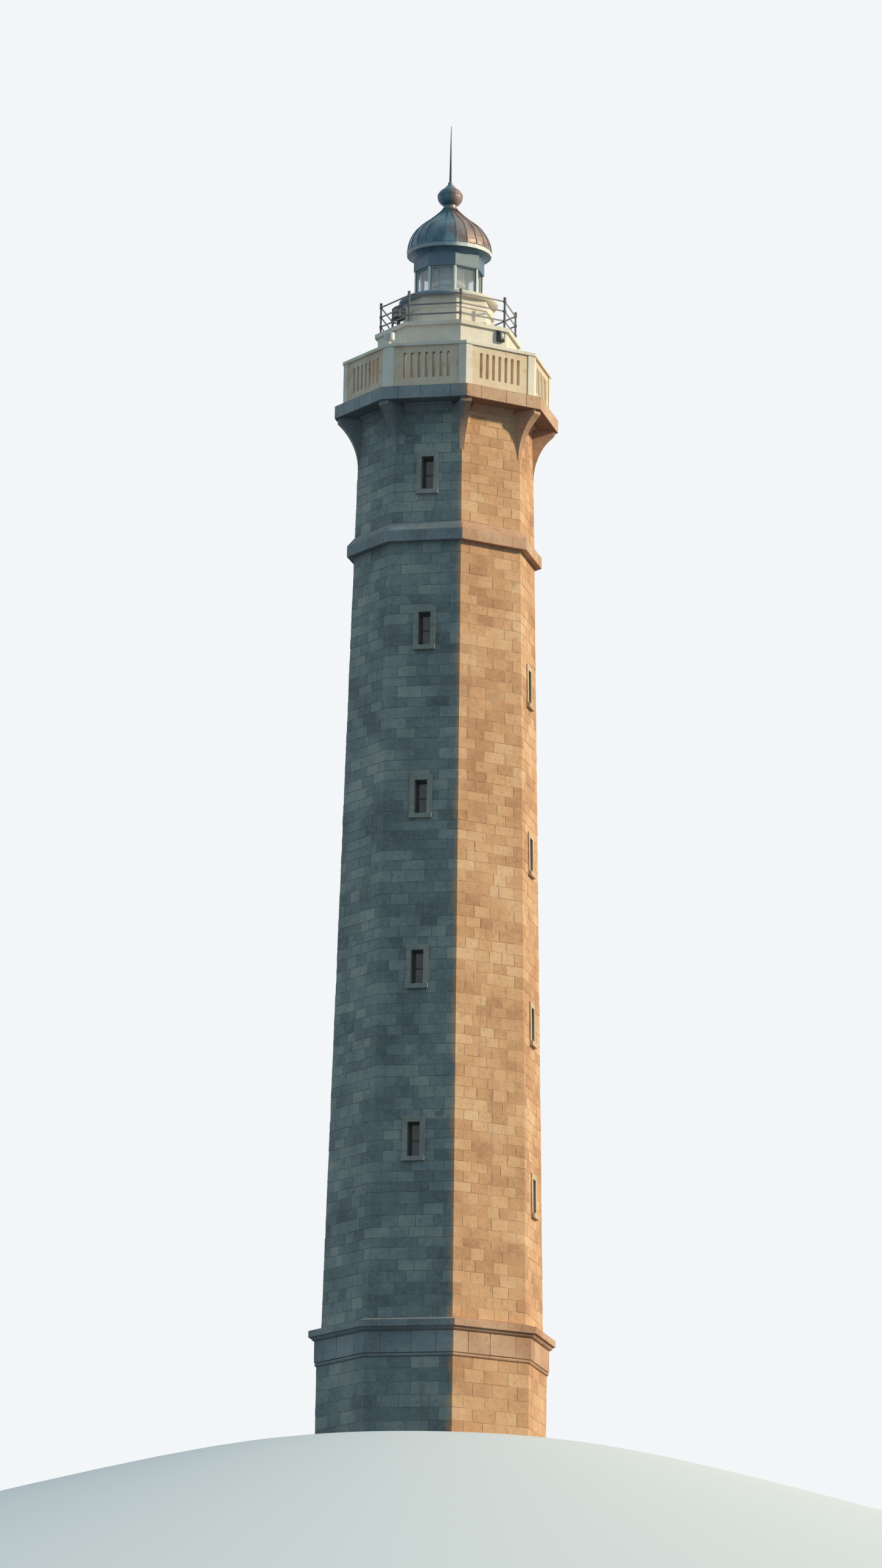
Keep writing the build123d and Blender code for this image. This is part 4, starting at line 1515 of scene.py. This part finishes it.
@dataclass
class Gallery:
    """Parapet, watch room, upper deck and railing."""

    coping_length: float = 1.2
    coping_arm: float = 0.35
    coping_joint: float = 0.008
    collar: float = 0.078
    collar_height: float = 0.075
    collar_outline: tuple[Pair, ...] = ((0.86, -1.0), (1.0, -0.7), (1.0, 0.7), (0.86, 1.0))
    shoe_bolt: Head = Head(0.011, 0.01, 6)
    bolt_offset: float = 0.04
    shoe_height: float = 0.03

    def railing_fittings(self) -> Work:
        """Collars where the rails meet the posts, and bolts through the posts' shoes.

        Returns:
            The working mesh.
        """
        rails = sorted({round((low.z + high.z) / 2, 3) for low, high in islands("railing_rails")})
        shoe = heights_of("upper_deck")[1] + self.shoe_height
        outline = [(x * self.collar / 2, z * self.collar_height / 2) for x, z in self.collar_outline]
        post = OUT * self.post_distance()
        work = bmesh.new()
        for number in range(SIDES):
            spin = side_spin(number + 0.5)
            for rail in rails:
                loft(work, [
                    [spin @ (post + Vector((x * reach, y * reach, rail + lift))) for x, y in SQUARE]
                    for reach, lift in outline])
            for x, y in SQUARE:
                offset = Vector((x * self.bolt_offset, y * self.bolt_offset, shoe))
                self.shoe_bolt.add(work, spin @ (post + offset), UP)
        return work

    @staticmethod
    def post_distance() -> float:
        """Distance from the axis to the middle of a railing post."""
        low, high = islands("railing_posts")[0]
        return ((low + high) / 2).xy.length

    def build(self) -> None:
        """Dresses the gallery and adds the railing's fittings."""
        dress(WORN_WASH, *(side.node("parapet_panel_") for side in Side))
        dress(LIMEWASH, "parapet_posts", "parapet_coping", "watch_room_wall", "upper_deck")
        dress(RAIL_PAINT, "railing_posts", "railing_rails")
        smooth_band(
            "coping_stones", "parapet_coping", self.coping_length, self.coping_arm, self.coping_joint, 31,
            LIMEWASH).build()
        add_piece("railing_fittings", self.railing_fittings(), RAIL_PAINT)


@dataclass(frozen=True)
class LampFront:
    """The flat front of a lamp as drawn for the south side, and the turn to the lamp's own side."""

    spin: Matrix
    middle: Vector
    width: float
    height: float

    def spot(self, across: float, up: float, stand: float = 0.0) -> Vector:
        """Point at shares of half the front's width and height, at a distance out from it."""
        offset = Vector((across * self.width / 2, -stand, up * self.height / 2))
        return self.spin @ (self.middle + offset)


@dataclass
class Lamps:
    """Small lamps on the two decks.

    Heights on the deck lamp are measured from its top, and its clearances from its drum. Sizes of the frames
    and glasses are shares of a lamp's front.
    """

    guard_foot: float = -0.36
    guard_top: float = -0.075
    guard_bar: Bar = Bar(0.014, 0.012)
    guard_bars: int = 8
    bar_clearance: float = 0.008
    guard_hoop: Hoop = Hoop(0.006, 24)
    hoop_clearance: float = 0.014
    hood_clearance: float = 0.004
    hood: tuple[Pair, ...] = ((0.72, -0.03), (0.78, -0.02), (0.5, 0.02))
    hood_knob: tuple[Pair, ...] = ((0.03, 0.035), (0.02, 0.06))
    hood_sides: int = 24
    drum_foot: float = -0.34
    drum_top: float = -0.09
    drum_clearance: float = 0.002
    drum_edge: Pair = (0.006, 0.01)
    drum_sides: int = 36
    frame_size: Pair = (0.82, 0.8)
    frame_bar: Bar = Bar(0.022, 0.014, 0.004)
    frame_bolt: Head = Head(0.007, 0.005, 6)
    glass_size: Pair = (0.76, 0.72)
    glass_dome: tuple[Pair, ...] = ((1.0, 0.0), (0.94, 0.012), (0.6, 0.02), (0.1, 0.022))
    glass_sides: int = 24

    @staticmethod
    def deck_lamp() -> tuple[Vector, float]:
        """The lamp on the upper deck.

        Returns:
            The middle of its top, and the radius of its drum.
        """
        low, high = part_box("deck_lamp")
        middle = (low + high) / 2
        return Vector((middle.x, middle.y, high.z)), (high.x - low.x) / 2

    def deck_lamp_guard(self) -> Work:
        """Hood, guard bars and hoops round the lamp on the upper deck.

        Returns:
            The working mesh.
        """
        top, drum = self.deck_lamp()
        work = bmesh.new()
        for height in (self.guard_foot, (self.guard_foot + self.guard_top) / 2, self.guard_top):
            self.guard_hoop.add(work, top + UP * height, drum + self.hoop_clearance)
        for a in angles(self.guard_bars):
            at = top + around(a) * (drum + self.bar_clearance)
            self.guard_bar.add(work, at + UP * self.guard_foot, at + UP * self.guard_top, around(a))
        rim = drum + self.hood_clearance
        outline = [(rim * share, lift) for share, lift in self.hood]
        add_turned(work, [*outline, *self.hood_knob], self.hood_sides, top)
        return work

    def deck_lamp_glass(self) -> Work:
        """Glass drum inside the guard.

        Returns:
            The working mesh.
        """
        top, drum = self.deck_lamp()
        radius = drum + self.drum_clearance
        step, rise = self.drum_edge
        work = bmesh.new()
        add_turned(work, [
            (radius - step, self.drum_foot), (radius, self.drum_foot + rise), (radius, self.drum_top - rise),
            (radius - step, self.drum_top)], self.drum_sides, top)
        return work

    @staticmethod
    def front_of(node: str, spin: Matrix) -> LampFront:
        """Finds the flat front of a lamp.

        Args:
            node: The lamp's node.
            spin: Rotation from the south side to the lamp.

        Returns:
            The front.
        """
        back = spin.inverted()
        points = [back @ point for point in points_of(node)]
        nearest = min(point.y for point in points)
        low, high = extent([point for point in points if point.y < nearest + TOUCH])
        return LampFront(spin, (low + high) / 2, high.x - low.x, high.z - low.z)

    def lamp_frame(self, front: LampFront) -> Work:
        """Raised frame on a lamp's front, with a bolt at each corner.

        Args:
            front: The lamp's front.

        Returns:
            The working mesh.
        """
        across, up = self.frame_size
        corners = [(x * across, z * up) for x, z in SQUARE]
        out = front.spin @ OUT
        work = bmesh.new()
        for first, last in zip(corners, corners[1:] + corners[:1]):
            self.frame_bar.add(work, front.spot(*first), front.spot(*last), out)
            self.frame_bolt.add(work, front.spot(*first, self.frame_bar.depth), out)
        return work

    def lamp_glass(self, front: LampFront) -> Work:
        """Slightly domed glass with the outline of a rounded square.

        Args:
            front: The lamp's front.

        Returns:
            The working mesh.
        """
        across, up = self.glass_size
        circle = (around(a).xy for a in angles(self.glass_sides))
        outline = [[math.copysign(math.sqrt(abs(share)), share) for share in point] for point in circle]
        work = bmesh.new()
        loft(work, [
            [front.spot(x * reach * across, z * reach * up, stand) for x, z in outline]
            for reach, stand in self.glass_dome])
        return work

    def build(self) -> None:
        """Dresses the lamps and adds their guards, frames and glasses."""
        dress(DARK_PAINT, "deck_lamp", "bulkhead_lamp")
        dress(WHITE_PAINT, "floodlight")
        add_piece("deck_lamp_guard", self.deck_lamp_guard(), DARK_PAINT)
        add_piece("deck_lamp_glass", self.deck_lamp_glass(), LAMP_GLASS)
        for node, side, finish in (("floodlight", -0.5, WHITE_PAINT), ("bulkhead_lamp", 1, DARK_PAINT)):
            front = self.front_of(node, side_spin(side))
            add_piece(node + "_frame", self.lamp_frame(front), finish)
            add_piece(node + "_glass", self.lamp_glass(front), LAMP_GLASS)


@dataclass
class Lantern:
    """Pedestal, glazing, lens and roof.

    Each ring of the neck's collar has its share of the neck's radius, how far it stands out and its lift.
    """

    gores: int = 24
    skin: float = 0.02
    seam_width: float = 0.012
    seam_height: float = 0.018
    seam_root: float = 0.012
    seam_shoulder: float = 0.8
    seam_lean: float = 0.4
    eaves_roll: Hoop = Hoop(0.016, 72)
    eaves_inset: float = 0.004
    eaves_lift: float = 0.012
    neck_collar: tuple[Triple, ...] = (
        (0.96, 0.0, -0.03), (1.0, 0.03, -0.02), (1.0, 0.035, 0.02), (0.98, 0.0, 0.035))
    neck_sides: int = 36
    ball_skin: float = 0.001
    ball_neck: float = 0.01
    ball_band: Hoop = Hoop(0.01)
    ball_band_inset: float = 0.004
    ball_band_lift: float = 0.028
    ball_sides: int = 48
    rod_collar: tuple[Pair, ...] = ((0.03, -0.05), (0.03, 0.02), (0.008, 0.05))
    collar_sides: int = 24
    strip: Bar = Bar(0.08, 0.028, 0.02)
    strip_bolt: Head = Head(0.009, 0.007, 6)
    strip_bolts: int = 6
    bead: Bar = Bar(0.02, 0.012, 0.004)
    bead_margin: float = 0.04
    gutter_rivet: Head = Head(0.012, 0.008)
    gutter_rivets_each: int = 2
    head_rivet: Head = Head(0.011, 0.008)
    head_rivets_each: int = 6
    rivet_margin: float = 0.05
    cage_bar: Bar = Bar(0.022, 0.014, 0.003)
    cage_clearance: float = 0.002
    cage_hoop: Hoop = Hoop(0.01)
    hoop_clearance: float = 0.006
    cage_margin: float = 0.012
    belt_hoop: float = 0.11

    def dome_outline(self) -> list[Pair]:
        """Radius and height of the dome's arrises, from the eaves to the neck.

        Returns:
            The outer skin's points, without those of the inner skin.
        """
        outline: list[Pair] = []
        for point in profile_of("dome"):
            while len(outline) > 1 and self.inside(outline[-2], outline[-1], point):
                outline.pop()
            outline.append(point)
        return outline

    def inside(self, first: Pair, middle: Pair, last: Pair) -> bool:
        """Whether a point of the inner skin lies well inside the line of its neighbours."""
        share = (middle[1] - first[1]) / (last[1] - first[1])
        return middle[0] < first[0] + share * (last[0] - first[0]) - self.skin

    def seam_rings(self, spin: Matrix, outline: list[Pair]) -> list[list[Vector]]:
        """Cross-sections of one standing seam.

        Args:
            spin: Rotation from +X to the seam's arris.
            outline: Radius and height of the arris.

        Returns:
            The points of each section, from the eaves to the neck.
        """
        half, eaves = self.seam_width / 2, outline[0][1]
        rings = []
        for radius, height in outline:
            root = Vector((-self.seam_root, 0, 0))
            tip = Vector((1, 0, self.seam_lean * (height - eaves))) * self.seam_height
            section = (
                (root, -half), (tip * self.seam_shoulder, -half), (tip, 0), (tip * self.seam_shoulder, half),
                (root, half))
            rings.append([spin @ (Vector((radius, across, height)) + shift) for shift, across in section])
        return rings

    def dome_seams(self) -> Work:
        """Standing seams on the dome's arrises, a rolled edge at the eaves and a collar at the neck.

        Returns:
            The working mesh.
        """
        outline = self.dome_outline()
        work = bmesh.new()
        for a in angles(self.gores, 0.5):
            loft(work, self.seam_rings(Matrix.Rotation(a - math.pi / 2, 4, "Z"), outline))
        radius, height = outline[0]
        self.eaves_roll.add(work, UP * (height + self.eaves_lift), radius - self.eaves_inset)
        radius, height = outline[-1]
        collar = [(radius * share + stand, height + lift) for share, stand, lift in self.neck_collar]
        add_turned(work, collar, self.neck_sides)
        return work

    def ball_mesh(self) -> Work:
        """Smooth skin of the ventilator ball, with its equator band and the rod's collar.

        Returns:
            The working mesh.
        """
        profile = profile_of("vent_ball")
        outline = [(radius + self.ball_skin, height) for radius, height in profile if radius > self.ball_neck]
        work = bmesh.new()
        add_turned(work, outline, self.ball_sides)
        widest, level = max(outline)
        for lift in (-self.ball_band_lift, self.ball_band_lift):
            self.ball_band.add(work, UP * (level + lift), widest - self.ball_band_inset)
        radius, height = outline[-1]
        collar = [(radius + stand, height + lift) for stand, lift in self.rod_collar]
        add_turned(work, collar, self.collar_sides)
        return work

    def glazing_fittings(self) -> Work:
        """Cover strips with bolts on the mullions, and beads round each pane.

        Returns:
            The working mesh.
        """
        low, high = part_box("lantern_glass")
        foot, top = low.z, high.z
        mullion = self.mullion_reach()
        work = bmesh.new()
        for out in corner_directions():
            at = out * mullion
            self.strip.add(work, at + UP * foot, at + UP * top, out)
            for n in range(self.strip_bolts):
                height = foot + (top - foot) * (n + 0.5) / self.strip_bolts
                self.strip_bolt.add(work, at + out * self.strip.depth + UP * height, out)
        glass = face_of("lantern_glass")
        right = glass * math.tan(HALF_TURN) - self.bead_margin
        lap = self.bead.width / 2
        runs = (
            ((-right, foot + lap), (right, foot + lap)), ((right - lap, foot), (right - lap, top)),
            ((right, top - lap), (-right, top - lap)), ((lap - right, top), (lap - right, foot)))
        for side in Side:
            spin = side_spin(side.value)
            for start, end in runs:
                first, last = (spin @ Vector((x, -glass, z)) for x, z in (start, end))
                self.bead.add(work, first, last, spin @ OUT)
        return work

    @staticmethod
    def mullion_reach() -> float:
        """Distance from the axis to the outer face of a mullion."""
        back = side_spin(0.5)
        return max(-(back @ point).y for point in points_of("lantern_mullions"))

    def gutter_rivets(self) -> Work:
        """A row of rivets half way up the gutter's lip."""
        middle = sum(heights_of("dome_gutter")) / 2
        return self.gutter_rivet.rows(face_of("dome_gutter"), self.gores, self.gutter_rivets_each, [middle])

    def head_rivets(self) -> Work:
        """Rows of rivets along the foot and top of the lantern's head.

        Returns:
            The working mesh.
        """
        foot, top = heights_of("lantern_head")
        heights = [foot + self.rivet_margin, top - self.rivet_margin]
        return self.head_rivet.rows(face_of("lantern_head"), SIDES, self.head_rivets_each, heights)

    def lens_cage(self) -> Work:
        """Brass uprights and hoops round the lens.

        Returns:
            The working mesh.
        """
        low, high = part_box("lens")
        foot, top, radius = low.z, high.z, high.x
        middle = (foot + top) / 2
        work = bmesh.new()
        for out in corner_directions():
            at = out * (radius + self.cage_clearance)
            self.cage_bar.add(work, at + UP * foot, at + UP * top, out)
        margin, belt = self.cage_margin, self.belt_hoop
        for height in (foot + margin, middle - belt, middle + belt, top - margin):
            self.cage_hoop.add(work, UP * height, radius + self.hoop_clearance)
        return work

    def build(self) -> None:
        """Dresses the lantern and adds its fittings."""
        dress(LIMEWASH, "lantern_pedestal", "pedestal_band")
        dress(SILL_WASH, "lantern_sill")
        dress(GREY_PAINT, "lantern_mullions", "lantern_head", "roof_cornice")
        dress(GUTTER_PAINT, "dome_gutter")
        dress(LANTERN_GLASS, "lantern_glass")
        dress(LENS_GLASS, "lens")
        dress(BRASS, "lens_frame")
        dress(COPPER, "dome", "vent_ball")
        dress(ROD_IRON, "lightning_rod")
        add_piece("dome_seams", self.dome_seams(), COPPER)
        add_piece("vent_ball_skin", self.ball_mesh(), COPPER)
        add_piece("glazing_fittings", self.glazing_fittings(), WHITE_PAINT)
        add_piece("gutter_rivets", self.gutter_rivets(), GUTTER_PAINT)
        add_piece("head_rivets", self.head_rivets(), GREY_PAINT)
        add_piece("lens_cage", self.lens_cage(), BRASS)


@dataclass
class Studio:
    """Pale ground that falls away from the tower, soft light and the camera."""

    flat_radius: float = 4.6
    reach: float = 400.0
    fall: float = math.radians(17)
    crest: float = 3.0
    ground: float = -0.002
    rings: int = 40
    ring_spread: float = 2.8
    spokes: int = 96
    floor_lit: Colour = tone(40, 46, 48)
    floor_shown: Colour = tone(234, 236, 238)
    fill: Colour = (0.58, 0.82, 1.0)
    fill_strength: float = 0.5
    sky_shown: Colour = (0.90, 0.92, 0.94)
    sun: Colour = (1.0, 0.88, 0.61)
    sun_strength: float = 3.4
    sun_softness: float = math.radians(4)
    sun_bearing: float = math.radians(3)
    sun_rise: float = 0.42
    azimuth: float = math.radians(12.5)
    distance: float = 197.9
    eye_height: float = -25.8
    frame_height: float = 44.5
    aim_height: float = 19.6
    roll: float = math.radians(0.9)
    sensor: float = 36.0
    clip_share: float = 4.0

    def ground_mesh(self) -> bpy.types.Mesh:
        """A level top round the tower's foot that curves down into an even slope.

        Returns:
            The mesh.
        """
        work = bmesh.new()
        centre = work.verts.new(UP * self.ground)
        rings = []
        for ring in range(self.rings + 1):
            beyond = (self.reach - self.flat_radius) * (ring / self.rings) ** self.ring_spread
            height = self.ground - math.tan(self.fall) * beyond ** 2 / (beyond + self.crest)
            radius = self.flat_radius + beyond
            rings.append([work.verts.new(around(a) * radius + UP * height) for a in angles(self.spokes)])
        for n in range(self.spokes):
            m = (n + 1) % self.spokes
            work.faces.new((centre, rings[0][n], rings[0][m]))
            for inner, outer in zip(rings, rings[1:]):
                work.faces.new((inner[n], outer[n], outer[m], inner[m]))
        return mesh_from("studio_floor", work)

    def add_floor(self) -> None:
        """Adds the floor as stage."""
        matt = bpy.data.materials.new("studio_floor_matt")
        shader = Shader(matt)
        lit, shown = ({"Color": with_alpha(colour)} for colour in (self.floor_lit, self.floor_shown))
        surface = shader.by_ray("ShaderNodeBsdfDiffuse", lit, shown)
        shader.node("ShaderNodeOutputMaterial", inputs={"Surface": surface})
        mesh = self.ground_mesh()
        mesh.materials.append(matt)
        mesh.shade_smooth()
        floor = add_object("studio_floor", mesh)
        floor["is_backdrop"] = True

    def add_world(self) -> None:
        """Cool soft light from all round, and a pale background."""
        world = bpy.data.worlds.new("studio_world")
        bpy.context.scene.world = world
        shader = Shader(world)
        lit = {"Color": with_alpha(self.fill), "Strength": self.fill_strength}
        shown = {"Color": with_alpha(self.sky_shown), "Strength": 1.0}
        sky = shader.by_ray("ShaderNodeBackground", lit, shown)
        shader.node("ShaderNodeOutputWorld", inputs={"Surface": sky})

    def add_sun(self) -> None:
        """Adds the low warm sun from just north of east."""
        data = bpy.data.lights.new("key", "SUN")
        data.energy = self.sun_strength
        data.color = self.sun
        data.angle = self.sun_softness
        direction = around(self.sun_bearing) + UP * self.sun_rise
        add_object("key", data).rotation_euler = direction.to_track_quat("Z", "Y").to_euler()

    def add_camera(self) -> None:
        """Puts the camera where the photograph was taken from, below the tower's foot."""
        data = bpy.data.cameras.new("view")
        data.sensor_width = self.sensor
        data.lens = self.sensor * self.distance / self.frame_height
        data.clip_end = self.clip_share * self.distance
        camera = add_object("view", data)
        camera.location = around(self.azimuth - math.pi / 2) * self.distance + UP * self.eye_height
        camera.rotation_mode = "QUATERNION"
        turn = (camera.location - UP * self.aim_height).to_track_quat("Z", "Y")
        camera.rotation_quaternion = turn @ Matrix.Rotation(self.roll, 3, "Z").to_quaternion()
        bpy.context.scene.camera = camera

    def build(self) -> None:
        """Sets up floor, light and camera."""
        self.add_floor()
        self.add_world()
        self.add_sun()
        self.add_camera()
        bpy.context.scene.view_settings.view_transform = "Standard"


def main() -> None:
    """Builds the tower from the ground up, then the studio."""
    logging.basicConfig(level=logging.INFO, format="%(name)s: %(message)s")
    for part in (GraniteTower(), Doors(), Gallery(), Lamps(), Lantern(), Studio()):
        LOG.info("building %s", type(part).__name__)
        part.build()
    boxes = {"cad": CAD_BOX, "visual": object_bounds()}
    {name: [list(corner) for corner in box] for name, box in boxes.items()}


if __name__ == "__main__":
    main()
